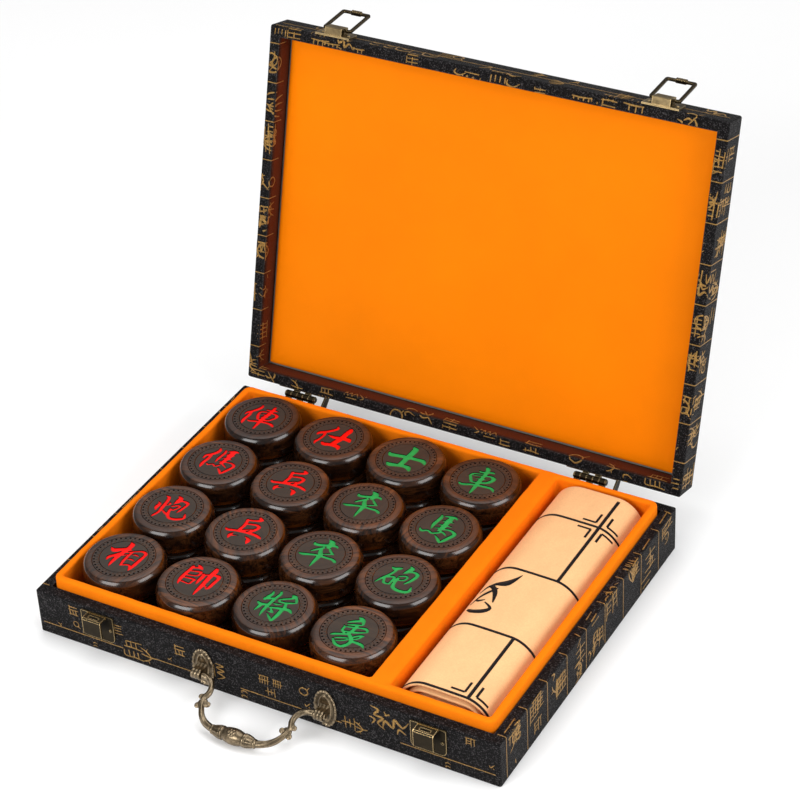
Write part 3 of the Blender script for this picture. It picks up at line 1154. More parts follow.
# ---- rolled board -------------------------------------------------------------------------------------
def roll_path():
    """Outer surface of the winding seen from the front: (x, z) samples from the sheet's outer end inwards."""
    half_step = ROLL_STEP / 2
    radius = ROLL_R + half_step
    ends = [(-ROLL_HALF - radius * math.sin(t), radius * math.cos(t) - half_step) for t in np.radians((75, 38, 0))]
    path = arc(*ends, 16)
    for n in range(ROLL_TURNS):
        r = ROLL_R - n * ROLL_STEP
        left = r - half_step
        path += arc((ROLL_HALF, r), (ROLL_HALF + r, 0.0), (ROLL_HALF, -r), 28)
        path += arc((-ROLL_HALF, -r), (-ROLL_HALF - left, -half_step), (-ROLL_HALF, left - half_step), 26)
    dense = [path[0]]
    for a, b in zip(path, path[1:]):
        count = max(1, round(math.dist(a, b) / 2.2))
        dense += [tuple(p + (q - p) * k / count for p, q in zip(a, b)) for k in range(1, count + 1)]
    points = np.array(dense)
    crown = ROLL_CROWN * (1 - (points[:, 0] / (ROLL_HALF + ROLL_R + 2)) ** 2)
    points[:, 1] += crown * np.clip(points[:, 1], 0, None) / ROLL_R
    length = np.concatenate([[0.0], np.cumsum(np.linalg.norm(np.diff(points, axis=0), axis=1))])
    keep = length <= SHEET_WOUND
    return points[keep], length[keep]


def roll_place(points, length, along, depth):
    """Where the winding is after a length, at a depth under its outer surface, and its outward normal."""
    at = np.array([np.interp(along, length, points[:, k]) for k in (0, 1)])
    near = np.array([np.interp((along - 0.8, along + 0.8), length, points[:, k]) for k in (0, 1)])
    ahead = near[:, 1] - near[:, 0]
    ahead /= np.linalg.norm(ahead)
    outward = np.array([-ahead[1], ahead[0]])
    return at - outward * depth, outward


def roll_shift(along):
    """How far the winding has crept back along the roll, with a slightly uneven end."""
    return ROLL_CREEP * (along / SHEET_WOUND - 0.5) + 0.7 * noise.noise((along * 0.02, 0.0, 3.1))


def letter_fold():
    """The sheet's long side, folded in three: (y, depth) samples along it."""
    front, back = -ROLL_PLY / 2, ROLL_PLY / 2
    outer, middle, inner = (LAYER_PITCH * k + 0.5 for k in range(3))
    r, big = (middle - outer) / 2, (inner - outer) / 2
    line = [(y, middle) for y in np.linspace(front + FLAP_FRONT, front + r, 34)]
    line += arc((front + r, middle), (front, outer + r), (front + r, outer), 6)[1:]
    line += [(y, outer) for y in np.linspace(front + r, back - big, 60)[1:]]
    line += arc((back - big, outer), (back, outer + big), (back - big, inner), 8)[1:]
    line += [(y, inner) for y in np.linspace(back - big, back - FLAP_BACK, 28)[1:]]
    return line


def board_sheet(made_of, ink):
    """The suede board, folded in three and wound flat, and the lines printed on it."""
    path, length = roll_path()
    fold = letter_fold()
    lo, hi = (np.array(c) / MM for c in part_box("chess_board_roll"))
    middle_x, middle_z = (lo[0] + hi[0]) / 2 + 0.3, lo[2] + ROLL_R
    rows = []
    for along in length:
        row = []
        for y, depth in fold:
            (x, z), _ = roll_place(path, length, along, depth)
            wave = 0.25 * noise.noise((along * 0.02, y * 0.02, 7.7))
            row.append((middle_x + x, y + roll_shift(along) + wave, middle_z + z))
        rows.append(row)
    grid = np.array(rows)
    normal = np.cross(np.gradient(grid, axis=0), np.gradient(grid, axis=1))
    normal /= np.linalg.norm(normal, axis=2, keepdims=True)
    count_u, count_v = grid.shape[:2]
    sides = [grid + normal * SHEET_THICK / 2, grid - normal * SHEET_THICK / 2]
    points = np.concatenate([side.reshape(-1, 3) for side in sides])
    size = count_u * count_v
    faces = grid_faces(count_u, count_v)
    faces += [tuple(size + k for k in face[::-1]) for face in grid_faces(count_u, count_v)]
    rim = [k for k in range(count_v)] + [k * count_v + count_v - 1 for k in range(1, count_u)]
    rim += [size - 1 - k for k in range(1, count_v)] + [size - count_v * (k + 1) for k in range(1, count_u - 1)]
    faces += [(a, b, b + size, a + size) for a, b in zip(rim, rim[1:] + rim[:1])]
    sheet = new_piece(
        "chess_board_sheet", points.tolist(), faces, "board_roll", [made_of],
        stands_for=["chess_board_roll"], slot="suede",
    )  # fmt: skip
    tidy_mesh(sheet)

    top = length <= 75.0

    def at(x, y):
        """The sheet's own place under a point of the roll's top."""
        along = float(np.interp(x - middle_x, path[top, 0], length[top]))
        return along, y - roll_shift(along)

    def surface(along, y):
        (x, z), outward = roll_place(path, length, along, 0.0)
        point = np.array((middle_x + x, y + roll_shift(along), middle_z + z))
        return point, np.array((outward[0], 0.0, outward[1]))

    strokes = []
    for y in BOARD_RANKS:
        row = at(BOARD_FILE, y)[1]
        strokes.append([(along, row, 2.1) for along in np.linspace(3.0, 118.0, 24)])
    for y0, y1 in ((-113.6, BOARD_RANKS[1]), (BOARD_RANKS[2], 111.0)):
        strokes.append([(*at(BOARD_FILE, y), 2.3) for y in np.linspace(y0, y1, 9)])
    for y, ups in ((BOARD_RANKS[0], (1,)), (BOARD_RANKS[3], (1, -1))):
        for up in ups:
            for side in (-1, 1):
                along, row = at(BOARD_FILE, y)
                near, far = 4.2, 14.0
                corner = (along + side * near, row + up * near, 1.7)
                leg = np.linspace(far, near, 7)[:-1]
                strokes.append([*((along + side * v, row + up * near, 1.7) for v in leg), corner])
                strokes.append([corner, (along + side * near, row + up * far, 1.7)])
    strokes += [[(*at(x, y), w) for x, y, w in stroke] for stroke in RIVER_FLOURISH]
    lines = new_piece("board_lines", *brush(strokes, surface, 0.05), "board_roll", [ink], slot="suede")
    tidy_mesh(lines)


def suede_material(ground, printed=False):
    """Brushed suede with a fine nap and soft paler and darker strokes of it."""
    made, g, shader = material(
        "printed_ink" if printed else "suede",
        Specular_IOR_Level=0.1,
        Sheen_Weight=0.05 if printed else 0.15,
        Sheen_Roughness=0.4,
        Sheen_Tint=(1.0, 0.85, 0.7),
    )
    place = g.place()
    nap = g.noise(place, 1000.0, 3.0, 0.7)
    strokes = g.noise(place, 120.0, 3.0, 0.6, stretch=(1.0, 0.4, 1.0), warp=0.8)
    patches = g.group("mottle", {"Place": place, "Scale": 45.0, "Low": 0.3, "High": 0.7})["Mask"]
    base = g.mix(patches, tint(ground, 0.93), tint(ground, 1.04))
    base = g.mix(g.span(strokes, 0.35, 0.7, 0.0, 0.5), base, tint(ground, 0.86))
    base = g.mix(g.span(nap, 0.35, 0.65, 0.0, 0.45), base, tint(ground, 0.74))
    feed(
        g,
        shader,
        Base_Color=base,
        Roughness=g.span(nap, 0.3, 0.7, 0.8, 0.95),
        Normal=g.bump(g.math("ADD", nap, strokes), 0.12 * MM, 0.6),
    )
    return made


# ---- liner and panel ----------------------------------------------------------------------------------
def liner_mesh():
    """The velvet liner as one skin: outer walls, both bays with their floors, and the rounded top."""
    lo, hi = (np.array(c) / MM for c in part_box("liner_floor_pad"))
    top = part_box("liner_front_wall")[1][2] / MM
    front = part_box("liner_front_wall")[1][1] / MM
    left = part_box("liner_left_wall")[1][0] / MM
    divider = [c[0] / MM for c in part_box("liner_divider")]
    x, y, half = (lo[0], hi[0]), (lo[1], hi[1]), (front, -front)
    soft = LINER_ROUND
    turn = arc((0.0, top - soft), (soft * 0.29, top - soft * 0.29), (soft, top), 6)
    points, faces = [], []

    def skin(loops):
        start = len(points)
        count = len(loops[0])
        points.extend(p for loop in loops for p in loop)
        faces.extend(grid_faces(len(loops), count, wrap_columns=True, start=start))
        return [len(points) - count + k for k in range(count)], [start + k for k in range(count)]

    def shrunk(x, y, z, inset, radius, wide=1.0):
        span_x = (x[0] + inset * wide, x[1] - inset)
        return rounded_loop(span_x, (y[0] + inset, y[1] - inset), z, max(radius - inset, 0.6))

    levels = [(0.0, lo[2] + 0.1)] + [(0.0, lo[2] + 8.0 + 6.0 * k) for k in range(5)] + turn
    rim, bottom = skin([shrunk(x, y, z, inset, LINER_CORNER) for inset, z in levels])
    faces.append(bottom[::-1])
    floor = hi[2]
    rims = []
    for bay, wide in (((left, divider[0]), 1.0), ((divider[1], -left), DIVIDER_SOFT)):
        levels = [(-inset, z) for inset, z in turn[::-1]]
        levels += [(0.0, floor + 6.0 * k) for k in range(5, 0, -1)] + [(0.0, floor + 2.0), (0.6, floor + 0.5), (2.0, floor)]
        end, start = skin([shrunk(bay, half, z, inset, 2.0, wide) for inset, z in levels])
        faces.append(end)
        rims.append(start)
    flat, loops = [], []
    for loop in (rim, *rims):
        loops.append(list(range(len(flat), len(flat) + len(loop))))
        flat += loop
    edges = [(a, b) for loop in loops for a, b in zip(loop, loop[1:] + loop[:1])]
    plan = [Vector(points[k][:2]) for k in flat]
    _, _, fill, origin, _, held = delaunay_2d_cdt(plan, edges, loops[1:], 0, 1e-5, True)
    faces += [[flat[origin[k][0]] for k in face] for face, inside in zip(fill, held) if not inside]
    return points, faces, floor


def slack(made, floor, amount):
    """Draws a padded skin in by a soft uneven amount, and leaves its floor and underside flat."""
    mesh = made.data
    mesh.update()
    for vertex, normal in zip(mesh.vertices, [n.vector.copy() for n in mesh.vertex_normals]):
        if vertex.co.z > floor:
            wave = 0.5 + 0.5 * noise.noise(vertex.co / (14 * MM)) + 0.35 * noise.noise(vertex.co / (5 * MM))
            vertex.co -= normal * amount * max(0.0, wave)
    mesh.update()


def puffed(made, held, cap):
    """Fills a pad with a little pressure, with its held points fixed, and no point moving beyond the cap."""
    before = np.array([v.co for v in made.data.vertices])
    fixed = made.vertex_groups.new(name="sewn_down")
    fixed.add(held, 1.0, "REPLACE")
    cloth = made.modifiers.new("filling", "CLOTH")
    cloth.settings.quality = 6
    cloth.settings.mass = 0.2
    cloth.settings.tension_stiffness = cloth.settings.compression_stiffness = 20.0
    cloth.settings.bending_stiffness = 2.0
    cloth.settings.use_pressure = True
    cloth.settings.uniform_pressure_force = 1.2
    cloth.settings.vertex_group_mass = "sewn_down"
    cloth.settings.effector_weights.gravity = 0.0
    scene = bpy.context.scene
    for step in range(1, 21):
        scene.frame_set(step)
    shaped = made.evaluated_get(bpy.context.evaluated_depsgraph_get())
    after = np.array([v.co for v in shaped.data.vertices])
    moved = after - before
    far = np.linalg.norm(moved, axis=1, keepdims=True)
    moved *= cap * np.tanh(far / cap) / np.maximum(far, 1e-9)
    made.modifiers.clear()
    made.vertex_groups.clear()
    scene.frame_set(1)
    made.data.vertices.foreach_set("co", (before + moved).ravel())
    made.data.update()


def satin_panel(satin):
    """The padded panel in the lid: a soft face that rolls back at its edges, over a stiff back."""
    outer = CLOSED_PANEL
    steps = {}
    for axis, half in (("x", outer[0]), ("y", outer[1])):
        edge = [half - d for d in (0.0, 0.3, 0.9, 1.9, 3.2, 5.5)]
        count = int(edge[-1] / 2.2)
        inner = [edge[-1] * k / count for k in range(count)]
        side = inner + edge[::-1]
        steps[axis] = [-v for v in side[:0:-1]] + side
    points = []
    for y in steps["y"]:
        for x in steps["x"]:
            near = min(outer[0] - abs(x), outer[1] - abs(y))
            drop = PANEL_SOFT * (1 - math.sqrt(1 - (1 - min(near, PANEL_SOFT) / PANEL_SOFT) ** 2))
            corner = math.hypot(max(0.0, abs(x) - outer[0] + 5.0), max(0.0, abs(y) - outer[1] + 5.0)) - 5.0
            pull = max(0.0, corner) / 7.0
            wave = 0.16 * noise.noise((x / 60, y / 90, 0.3)) + 0.1 * noise.noise((x / 22, y / 120, 4.0))
            face = PANEL_FACE_Z + min(drop, PANEL_SOFT) + wave * min(1.0, near / 12)
            points.append((x * (1 - 0.012 * pull), y * (1 - 0.012 * pull), min(face, PANEL_BACK_Z)))
    columns, rows = len(steps["x"]), len(steps["y"])
    faces = [face[::-1] for face in grid_faces(rows, columns)]
    rim = list(range(columns)) + [k * columns + columns - 1 for k in range(1, rows)]
    rim += [rows * columns - 1 - k for k in range(1, columns)] + [columns * (rows - 1 - k) for k in range(1, rows - 1)]
    back = [len(points) + k for k in range(len(rim))]
    points += [(points[k][0] * 0.985, points[k][1] * 0.98, PANEL_BACK_Z) for k in rim]
    faces += [(a, b, d, c) for a, b, c, d in zip(rim, rim[1:] + rim[:1], back, back[1:] + back[:1])]
    faces.append(back)
    made = new_piece(
        "padded_satin_panel", opened(points), faces, "lid", [satin], stands_for=["lid_satin_panel"], slot="orange_satin"
    )  # fmt: skip
    tidy_mesh(made)
    puffed(made, rim + back, 1.0 * MM)


# ---- handle -------------------------------------------------------------------------------------------
def handle_place(x, reach, over=0.0):
    """A point of the hanging handle: along its pivot axis, out from it, and over its plane."""
    drop = math.radians(HANDLE_DROP)
    c, s = math.cos(drop), math.sin(drop)
    return (
        HANDLE_X + x,
        PIVOT_Y - reach * c - over * s,
        PIVOT_Z - reach * s + over * c,
    )


def handle_bail(bronze):
    """The cast handle: barrel knob with a flower, two collars, fluted arms and their scrolls."""
    parts = []
    reach = HANDLE_REACH

    def turned(profile, side=1):
        """A solid of revolution along the knob's axis, from (x, radius) samples."""
        loops = []
        for x, radius in profile:
            loops.append([handle_place(side * x, reach + radius * b, radius * a) for a, b in circle(1.0, 40)])
        return lofted(loops)

    belly = [(x, 3.5 + (KNOB_R - 3.5) * math.cos(x / 8.5 * math.pi / 2) ** 0.8) for x in np.linspace(-8.5, 8.5, 25)]
    parts.append(turned(belly))
    for petal in range(6):
        t = math.radians(60 * petal)
        x, y = 1.9 * math.cos(t), 1.9 * math.sin(t)
        centre = handle_place(x, reach - y, math.sqrt(KNOB_R**2 - y * y) - 0.25)
        parts.append(ball(centre, (1.05, 1.05, 0.8)))
    parts.append(ball(handle_place(0.0, reach, KNOB_R + 0.05), (0.9, 0.9, 0.75)))
    for side in (-1, 1):
        parts.append(turned([(7.4, 4.0), (7.7, 4.75), (8.5, 4.85), (9.0, 4.4)], side))
        parts.append(turned([(8.6, 4.2), (9.4, 4.6), (12.0, 3.9), (14.6, 3.1), (15.4, 3.1), (16.0, 3.4), (16.7, 2.6)], side))
        for flute in range(10):
            t = 2 * math.pi * flute / 10
            line = []
            for x, radius in ((9.3, 4.35), (11.5, 3.85), (14.6, 2.95)):
                line.append((*handle_place(side * x, reach + radius * math.sin(t), radius * math.cos(t)), 0.62))
            parts.append(tube(line, 8))
        arm = [(*handle_place(side * x, y), r) for x, y, r in flow(ARM_LINE, 7)]
        parts.append(tube(arm, 30, flutes=6, depth=0.16, twist=side * 0.28))
        pin_inner, pin_outer = ARM_LINE[0][0] - 1.0, POST_X + 4.0
        parts.append(tube([(*handle_place(side * x, 0.0), PIVOT_R) for x in (pin_inner, POST_X, pin_outer)], 20))
        head = [(*handle_place(side * (POST_X + 3.4 + k), 0.0), r) for k, r in ((0.0, 2.0), (0.7, 2.2), (1.2, 1.4))]
        parts.append(tube(head, 20))
        for x, y, size, begin in SCROLLS:
            curl = []
            for k in range(15):
                t = math.radians(begin + 26 * k)
                spread = size * (1.0 - k / 19)
                curl.append((*handle_place(side * (x + spread * math.cos(t)), y + spread * math.sin(t)), 1.15 - 0.02 * k))
            parts.append(tube(curl, 12))
            parts.append(ball(handle_place(side * x, y, 0.0), (size * 0.75, size * 0.75, 0.95)))
        for x, y, r in LEAF_TIPS:
            parts.append(ball(handle_place(side * x, y, 0.0), (r, r, r * 0.8)))
    made = new_piece("handle_casting", *joined(parts), "handle", [bronze], stands_for=["handle_bail"], slot="antique_bronze")
    tidy_mesh(made)
    cast(made, 0.34)


def rosette(word, x, bronze):
    """Oval plate with a beaded rim, a sunk field and a raised inner oval, and the eye that it carries."""
    half_w, half_h = 8.1, 14.6

    def oval(grow, out, wave=0.0):
        loop = []
        for k in range(88):
            t = 2 * math.pi * k / 88
            swell = 1.0 + wave * abs(math.cos(11 * t))
            loop.append((x + (half_w + grow) * swell * math.cos(t), FRONT_Y - out, PIVOT_Z + (half_h + grow) * swell * math.sin(t)))
        return loop

    levels = (
        (0.0, 0.0, 0.02), (0.1, 1.0, 0.02), (-0.6, 1.5, 0.01), (-1.5, 1.3, 0.0), (-1.9, 0.8, 0.0), (-2.9, 0.75, 0.0),
        (-3.2, 1.5, 0.0), (-3.9, 1.85, 0.0), (-4.6, 1.6, 0.0), (-4.9, 1.1, 0.0), (-6.4, 1.0, 0.0),
    )  # fmt: skip
    parts = [lofted([oval(*level) for level in levels])]
    for k in range(22):
        t = 2 * math.pi * (k + 0.5) / 22
        centre = (x + (half_w - 0.55) * math.cos(t), FRONT_Y - 1.0, PIVOT_Z + (half_h - 0.55) * math.sin(t))
        parts.append(ball(centre, (1.15, 0.9, 1.15), 12))
    for z in (-9.6, 9.6):
        parts.append(ball((x, FRONT_Y - 1.0, PIVOT_Z + z), (1.3, 0.9, 1.3), 14))
    plate = new_piece(
        f"{word}_rosette_plate", *joined(parts), "box_base", [bronze],
        stands_for=[f"{word}_handle_rosette"], slot="antique_bronze",
    )  # fmt: skip
    tidy_mesh(plate)
    cast(plate, 0.3, 1)


def post(word, x, bronze):
    """The eye that the handle turns in: a ridged stem with a barrel across its end."""
    stem = []
    for out, half_h, flare in ((1.2, 4.2, 1.15), (2.2, 3.4, 1.04), (4.2, 2.9, 1.0), (6.2, 3.1, 1.0), (FRONT_Y - PIVOT_Y, 3.5, 1.0)):
        upper = [(x + along * flare, FRONT_Y - out, PIVOT_Z + half_h * k) for along, k in POST_RIDGES]
        lower = [(x + along * flare, FRONT_Y - out, PIVOT_Z - half_h * k) for along, k in POST_RIDGES[::-1]]
        stem.append(upper + lower)
    eye = [
        [(x + along, PIVOT_Y + POST_EYE_R * k * a, PIVOT_Z + POST_EYE_R * k * b) for a, b in circle(1.0, 32)]
        for along, k in POST_RIDGES
    ]
    made = new_piece(
        f"{word}_handle_eye", *joined([lofted(stem), lofted(eye)]), "box_base", [bronze],
        stands_for=[f"{word}_handle_post"], slot="antique_bronze",
    )  # fmt: skip
    tidy_mesh(made)
    cast(made, 0.26, 1)


# ---- woven figures ------------------------------------------------------------------------------------
def wall_surface(side, lid):
    """How a side of the base or the closed lid lies in space: surface(along, over) -> (point, normal).

    Over runs up the outside from the far edge, round the rim's outer edge and inwards across the rim,
    and in the lid on down the inner wall.
    """
    half = HALF_W if side in ("left", "right") else HALF_D
    height = LID_SIDE if lid else BASE_TOP
    flat, bend = height - RIM_ROUND, RIM_ROUND * math.pi / 2
    rim = WALL - RIM_ROUND

    def surface(along, over):
        if over < flat:
            out, up, tilt = 0.0, over, 0.0
        elif over < flat + bend:
            tilt = (over - flat) / RIM_ROUND
            out, up = RIM_ROUND * (math.cos(tilt) - 1.0), flat + RIM_ROUND * math.sin(tilt)
        elif over < flat + bend + rim:
            out, up, tilt = -RIM_ROUND - (over - flat - bend), height, math.pi / 2
        else:
            out, up, tilt = -WALL, height - (over - flat - bend - rim), math.pi
        d, n, nz = half + out, math.cos(tilt), math.sin(tilt)
        z = LID_TOP - up if lid else up
        nz = -nz if lid else nz
        spots = {
            "front": ((along, -d, z), (0.0, -n, nz)),
            "back": ((along, d, z), (0.0, n, nz)),
            "left": ((-d, along, z), (-n, 0.0, nz)),
            "right": ((d, along, z), (n, 0.0, nz)),
        }
        return placed(*spots[side], lid)

    return surface


def placed(point, normal, lid):
    """A point and its normal, moved to the open lid where they are the lid's."""
    if not lid:
        return np.array(point), np.array(normal)
    tip = tuple(p + n for p, n in zip(point, normal))
    here, there = (np.array(p) for p in opened([point, tip]))
    return here, there - here


def top_surface(along, across):
    """The lid's outer top."""
    return placed((along, across, LID_TOP), (0.0, 0.0, 1.0), True)


def figure(shape, along, over, turn, size):
    """One woven figure's strokes, placed in the cloth. A turn of 1 lays it on its side."""
    c, s = math.cos(turn * math.pi / 2), math.sin(turn * math.pi / 2)
    out = []
    for stroke in FIGURES[shape]:
        out.append([(along + (x * c - y * s) * size, over + (x * s + y * c) * size, w * 0.95 * size**0.6) for x, y, w in stroke])
    return out


def within(strokes, low, high):
    """Keeps the strokes that stay between two corners of the cloth."""
    return [s for s in strokes if all(low[k] < p[k] < high[k] for p in s for k in (0, 1))]


def figured_side(side, lid, dice, spots=None):
    """Gold strokes for one side of a case: figures between rule lines that all run left to right."""
    surface = wall_surface(side, lid)
    reach = (HALF_W if side in ("front", "back") else HALF_D) - 3.0
    over = (LID_SIDE + WALL + LID_INSIDE if lid else BASE_TOP + WALL) - 2.0
    strokes = []
    if side in ("front", "back"):
        row = RULE_UP if not lid else RULE_UP + 3.0
        for start, end in FRONT_RULES if spots else ((1.0 - reach, reach - 1.0),):
            strokes.append([(v, row, 0.75) for v in np.linspace(start, end, 24)])
        if spots:
            for spot in spots:
                strokes += figure(*spot)
        else:
            place = -reach + 6
            while place < reach - 6:
                low = dice.choice((6.0, 14.0, 22.0, 30.0)) if not lid else dice.choice((6.0, 15.0, 24.0, 31.0))
                strokes += figure(dice.randrange(len(FIGURES)), place, low, 1, dice.uniform(1.0, 1.6))
                place += dice.uniform(8, 13)
    else:
        row = -reach + dice.uniform(4, 10)
        while row < reach:
            strokes.append([(row, v, 0.75) for v in np.linspace(1.5, over - 0.5, 22)])
            for _ in range(4 if not lid else 6):
                middle = row + dice.uniform(8, RULE_PITCH - 8)
                strokes += figure(
                    dice.randrange(len(FIGURES)), middle, dice.uniform(5, over - 4), 0, dice.uniform(1.0, 1.8)
                )
            row += RULE_PITCH
    return brush(within(strokes, (-reach, 1.0), (reach, over)), surface, 0.07)


def figured_top(dice):
    """Gold strokes for the lid's outer top: rows of figures between rule lines."""
    strokes = []
    row = -HALF_D + 6.0
    while row < HALF_D - 4:
        strokes.append([(v, row, 0.75) for v in np.linspace(5 - HALF_W, HALF_W - 5, 90)])
        place = dice.uniform(8, 20) - HALF_W
        while place < HALF_W - 12:
            for _ in range(dice.choice((1, 1, 2))):
                middle = row + dice.uniform(8, RULE_PITCH - 8)
                strokes += figure(dice.randrange(len(FIGURES)), place, middle, 1, dice.uniform(0.9, 1.6))
            place += dice.uniform(12, 24)
        row += RULE_PITCH
    return brush(within(strokes, (4 - HALF_W, 4 - HALF_D), (HALF_W - 4, HALF_D - 4)), top_surface, 0.07)


# ---- operators ----------------------------------------------------------------------------------------
class XIANGQI_OT_stage(bpy.types.Operator):
    """Camera, pale floor and soft lamps"""

    bl_idname = "xiangqi.stage"
    bl_label = "Stage"

    def execute(self, context):
        scene = context.scene
        stage = settings().stage
        azimuth, height, roll = (math.radians(v) for v in (30.544, 34.838, -3.064))
        back = Vector(
            (math.sin(azimuth) * math.cos(height), -math.cos(azimuth) * math.cos(height), math.sin(height))
        )
        side = Vector((0.0, 0.0, 1.0)).cross(back).normalized()
        over = back.cross(side)
        right = math.cos(roll) * side + math.sin(roll) * over
        up = math.cos(roll) * over - math.sin(roll) * side
        turn = Matrix((right, up, back)).transposed().to_4x4()
        lens = bpy.data.cameras.new("camera")
        lens.sensor_width = 36.0
        lens.lens = 115.84
        lens.clip_start = 0.05
        lens.clip_end = 50.0
        camera = bpy.data.objects.new("camera", lens)
        camera.matrix_world = Matrix.Translation((0.72956, -1.17218, 1.11625)) @ turn
        scene.collection.objects.link(camera)
        scene.camera = camera
        scene.view_settings.view_transform = "Standard"

        made, g, shader = material("floor_paint", Specular_IOR_Level=0.1)
        patches = g.group("mottle", {"Place": g.place(), "Scale": 3.0, "Low": 0.2, "High": 0.8})["Mask"]
        pale = tuple(stage.floor_colour)
        feed(
            g,
            shader,
            Base_Color=g.mix(patches, tint(pale, 0.985), pale),
            Roughness=g.span(patches, 0.0, 1.0, 0.9, 0.95),
        )
        mesh = bpy.data.meshes.new("floor")
        steps = [-6.0, -2.0, -1.0, 0.0, 1.0, 2.0, 6.0]
        count = len(steps)
        points = [(x, y, -0.0002) for y in steps for x in steps]
        faces = [
            (r * count + c, r * count + c + 1, (r + 1) * count + c + 1, (r + 1) * count + c)
            for r in range(count - 1)
            for c in range(count - 1)
        ]
        mesh.from_pydata(points, [], faces)
        mesh.materials.append(made)
        floor = bpy.data.objects.new("floor", mesh)
        scene.collection.objects.link(floor)

        world = bpy.data.worlds.new("room")
        world.use_nodes = True
        world.node_tree.nodes["Background"].inputs["Color"].default_value = (1.0, 1.0, 1.0, 1.0)
        world.node_tree.nodes["Background"].inputs["Strength"].default_value = stage.sky_strength
        scene.world = world
        for name, at, size, share in (
            ("lamp_left", (-0.42, -1.72, 1.0), (1.35, 0.95), 1.0),
            ("lamp_right", (1.78, -0.12, 1.0), (1.35, 0.95), 0.9),
        ):
            light = bpy.data.lights.new(name, "AREA")
            light.shape = "RECTANGLE"
            light.size, light.size_y = size
            light.energy = stage.key_power * share
            lamp = bpy.data.objects.new(name, light)
            lamp.visible_camera = False
            lamp.location = at
            lamp.rotation_mode = "QUATERNION"
            lamp.rotation_quaternion = (Vector((0.0, 0.0, 0.08)) - Vector(at)).to_track_quat("-Z", "Y")
            scene.collection.objects.link(lamp)
        light = bpy.data.lights.new("lamp_overhead", "SUN")
        light.energy = stage.overhead
        light.angle = math.radians(60.0)
        lamp = bpy.data.objects.new("lamp_overhead", light)
        lamp.rotation_mode = "QUATERNION"
        lamp.rotation_quaternion = Vector((0.2, -0.9, -2.6)).to_track_quat("-Z", "Y")
        scene.collection.objects.link(lamp)
        return {"FINISHED"}


class XIANGQI_OT_case(bpy.types.Operator):
    """Boards, brocade with its woven gold figures, and underside paper"""

    bl_idname = "xiangqi.case"
    bl_label = "Case"

    def execute(self, context):
        cloth = settings().cloth
        ground = cloth_material("brocade_ground", tuple(cloth.ground), cloth.thread)
        gold = cloth_material("gold_figures", tuple(cloth.gold), cloth.thread * 0.6, gold=True)
        dress(["base_brocade", "lid_brocade"], ground)
        boards = [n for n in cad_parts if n.endswith("_board")]
        dress(boards, board_material("grey_board", (0.16, 0.15, 0.13), 900.0))
        dress(["base_underside_paper"], board_material("black_paper", (0.012, 0.012, 0.012), 1400.0))
        dice = random.Random(11)
        for lid in (False, True):
            parts = []
            for side in ("front", "back", "left", "right"):
                spots = FRONT_FIGURES if side == "front" and not lid else None
                parts.append(figured_side(side, lid, dice, spots))
            if lid:
                parts.append(figured_top(dice))
            name, body = ("lid_gold_figures", "lid") if lid else ("base_gold_figures", "box_base")
            tidy_mesh(new_piece(name, *joined(parts), body, [gold], slot="brocade"))
        return {"FINISHED"}


class XIANGQI_OT_metal(bpy.types.Operator):
    """Hinges and latches"""

    bl_idname = "xiangqi.metal"
    bl_label = "Hinges and latches"

    def execute(self, context):
        metal = settings().metal
        patina = tuple(metal.patina)
        bare = tuple(metal.brass)
        brass = metal_material("antique_brass", bare, tint(patina, 0.4), 0.24, film_range=(0.985, 1.0))
        worn = metal_material("worn_brass", bare, patina, 0.3, film_range=(0.62, 0.9))
        dark = metal_material("dark_bronze", tint(bare, 0.5), tint(patina, 0.6), 0.3, film_range=(0.95, 1.0))
        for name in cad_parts:
            if "hinge" in name:
                dress([name], dark)
            elif "latch" in name:
                dress([name], worn if "bracket" in name else brass)
        return {"FINISHED"}


class XIANGQI_OT_handle(bpy.types.Operator):
    """Cast handle, its two rosettes and the eyes that it turns in"""

    bl_idname = "xiangqi.handle"
    bl_label = "Handle"

    def execute(self, context):
        metal = settings().metal
        bronze = metal_material("antique_bronze", tuple(metal.bronze), tuple(metal.patina), 0.22)
        handle_bail(bronze)
        for word, x in (("left", HANDLE_X - POST_X), ("right", HANDLE_X + POST_X)):
            rosette(word, x, bronze)
            post(word, x, bronze)
        return {"FINISHED"}


class XIANGQI_OT_liner(bpy.types.Operator):
    """Velvet liner with its two bays"""

    bl_idname = "xiangqi.liner"
    bl_label = "Liner"

    def execute(self, context):
        velvet = pile_material("orange_velvet", tuple(settings().cloth.velvet))
        points, faces, floor = liner_mesh()
        nodes = [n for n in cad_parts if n.startswith("liner")]
        made = new_piece(
            "velvet_liner", points, faces, "box_base", [velvet], stands_for=nodes, slot="orange_velvet"
        )
        tidy_mesh(made, weld=0.001 * MM)
        slack(made, (floor + 3.0) * MM, 0.35 * MM)
        return {"FINISHED"}


class XIANGQI_OT_panel(bpy.types.Operator):
    """Padded satin panel inside the lid"""

    bl_idname = "xiangqi.panel"
    bl_label = "Padded panel"

    def execute(self, context):
        satin_panel(pile_material("orange_satin", tuple(settings().cloth.satin), satin=True))
        return {"FINISHED"}


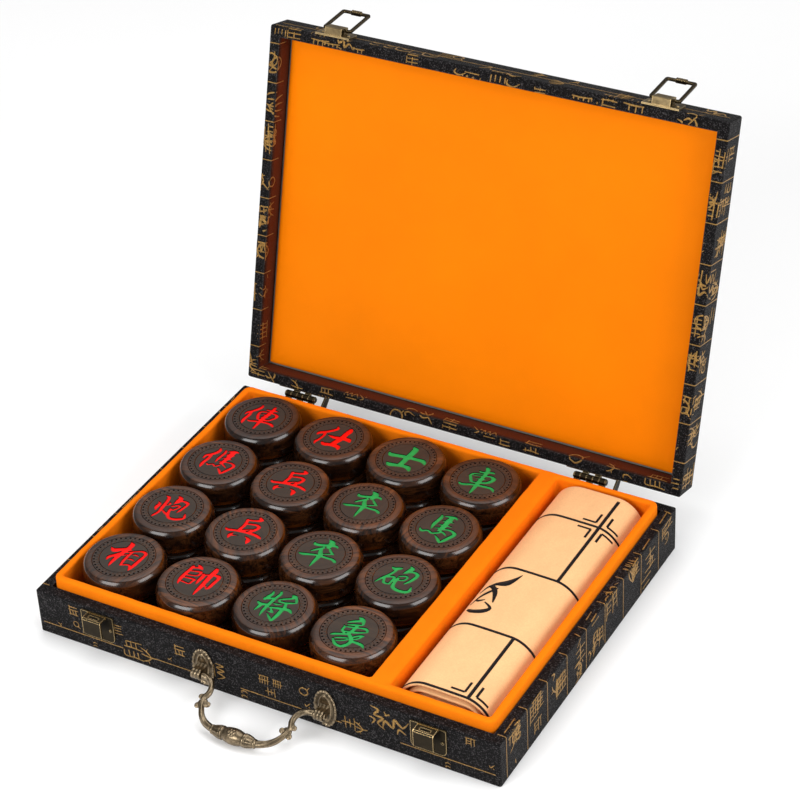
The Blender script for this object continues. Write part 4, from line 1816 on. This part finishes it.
class XIANGQI_OT_pieces(bpy.types.Operator):
    """Two layers of carved and painted playing pieces"""

    bl_idname = "xiangqi.pieces"
    bl_label = "Playing pieces"

    def execute(self, context):
        wood = settings().wood
        rosewood = rosewood_material(wood)
        cut = bare_material("burnt_cuts", tint(wood.dark, 0.7))
        worn = bare_material("worn_curls", tint(wood.light, 2.0))
        red, green = paint_material("red_paint", tuple(wood.red)), paint_material("green_paint", tuple(wood.green))
        plain = carved_face(())
        drums = {name: drum(strokes, plain) for name, strokes in CHARACTERS.items()}
        dice = random.Random(5)

        def centre(node, level=None):
            low, high = (np.array(c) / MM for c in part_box(node))
            x, y, z = (low + high) / 2
            return x, y, z if level is None else level

        for row, names in enumerate(UPPER_LAYER, 1):
            for column, name in enumerate(names, 1):
                node = f"piece_row{row}_col{column}"
                paints = [rosewood, red if name.endswith("red") else green, cut, worn]
                playing_piece(f"{node}_{name}", [drums[name]], [centre(node)], f"{node}_body", paints, [node], dice)
        low, high = (np.array(c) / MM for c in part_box("lower_layer_pieces"))
        level = (low[2] + high[2]) / 2
        for side, paint in (("red", red), ("green", green)):
            shapes, centres = [], []
            for row, names in enumerate(LOWER_LAYER, 1):
                for column, name in enumerate(names, 1):
                    if name.endswith(side):
                        shapes.append(drums[name])
                        centres.append(centre(f"piece_row{row}_col{column}", level))
            paints = [rosewood, paint, cut, worn]
            playing_piece(
                f"lower_pieces_{side}", shapes, centres, "lower_layer", paints, ["lower_layer_pieces"], dice
            )
        return {"FINISHED"}


class XIANGQI_OT_board(bpy.types.Operator):
    """Suede board, folded and rolled"""

    bl_idname = "xiangqi.board"
    bl_label = "Rolled board"

    def execute(self, context):
        cloth = settings().cloth
        board_sheet(suede_material(tuple(cloth.suede)), suede_material(tuple(cloth.ink), printed=True))
        return {"FINISHED"}


OPERATORS = (
    XIANGQI_OT_stage,
    XIANGQI_OT_case,
    XIANGQI_OT_metal,
    XIANGQI_OT_handle,
    XIANGQI_OT_liner,
    XIANGQI_OT_panel,
    XIANGQI_OT_pieces,
    XIANGQI_OT_board,
)


class XIANGQI_PT_box(bpy.types.Panel):
    """Lists the steps that build the box"""

    bl_idname = "XIANGQI_PT_box"
    bl_label = "Xiangqi box"
    bl_space_type = "VIEW_3D"
    bl_region_type = "UI"
    bl_category = "Xiangqi box"

    def draw(self, context):
        box = context.scene.xiangqi_box
        for group in (box.stage, box.cloth, box.wood, box.metal):
            column = self.layout.box().column()
            for key in group.__annotations__:
                column.prop(group, key)
        for operator in OPERATORS:
            self.layout.operator(operator.bl_idname)


CLASSES = (
    StageSettings,
    ClothSettings,
    WoodSettings,
    MetalSettings,
    BoxSettings,
    *OPERATORS,
    XIANGQI_PT_box,
)


def register():
    for one in CLASSES:
        bpy.utils.register_class(one)
    bpy.types.Scene.xiangqi_box = bpy.props.PointerProperty(type=BoxSettings)


def unregister():
    del bpy.types.Scene.xiangqi_box
    for one in reversed(CLASSES):
        bpy.utils.unregister_class(one)


def main():
    register()
    make_groups()
    bpy.ops.xiangqi.stage()
    bpy.ops.xiangqi.case()
    bpy.ops.xiangqi.metal()
    bpy.ops.xiangqi.handle()
    bpy.ops.xiangqi.liner()
    bpy.ops.xiangqi.panel()
    bpy.ops.xiangqi.pieces()
    bpy.ops.xiangqi.board()
    bpy.context.view_layer.update()


if __name__ == "__main__":
    main()
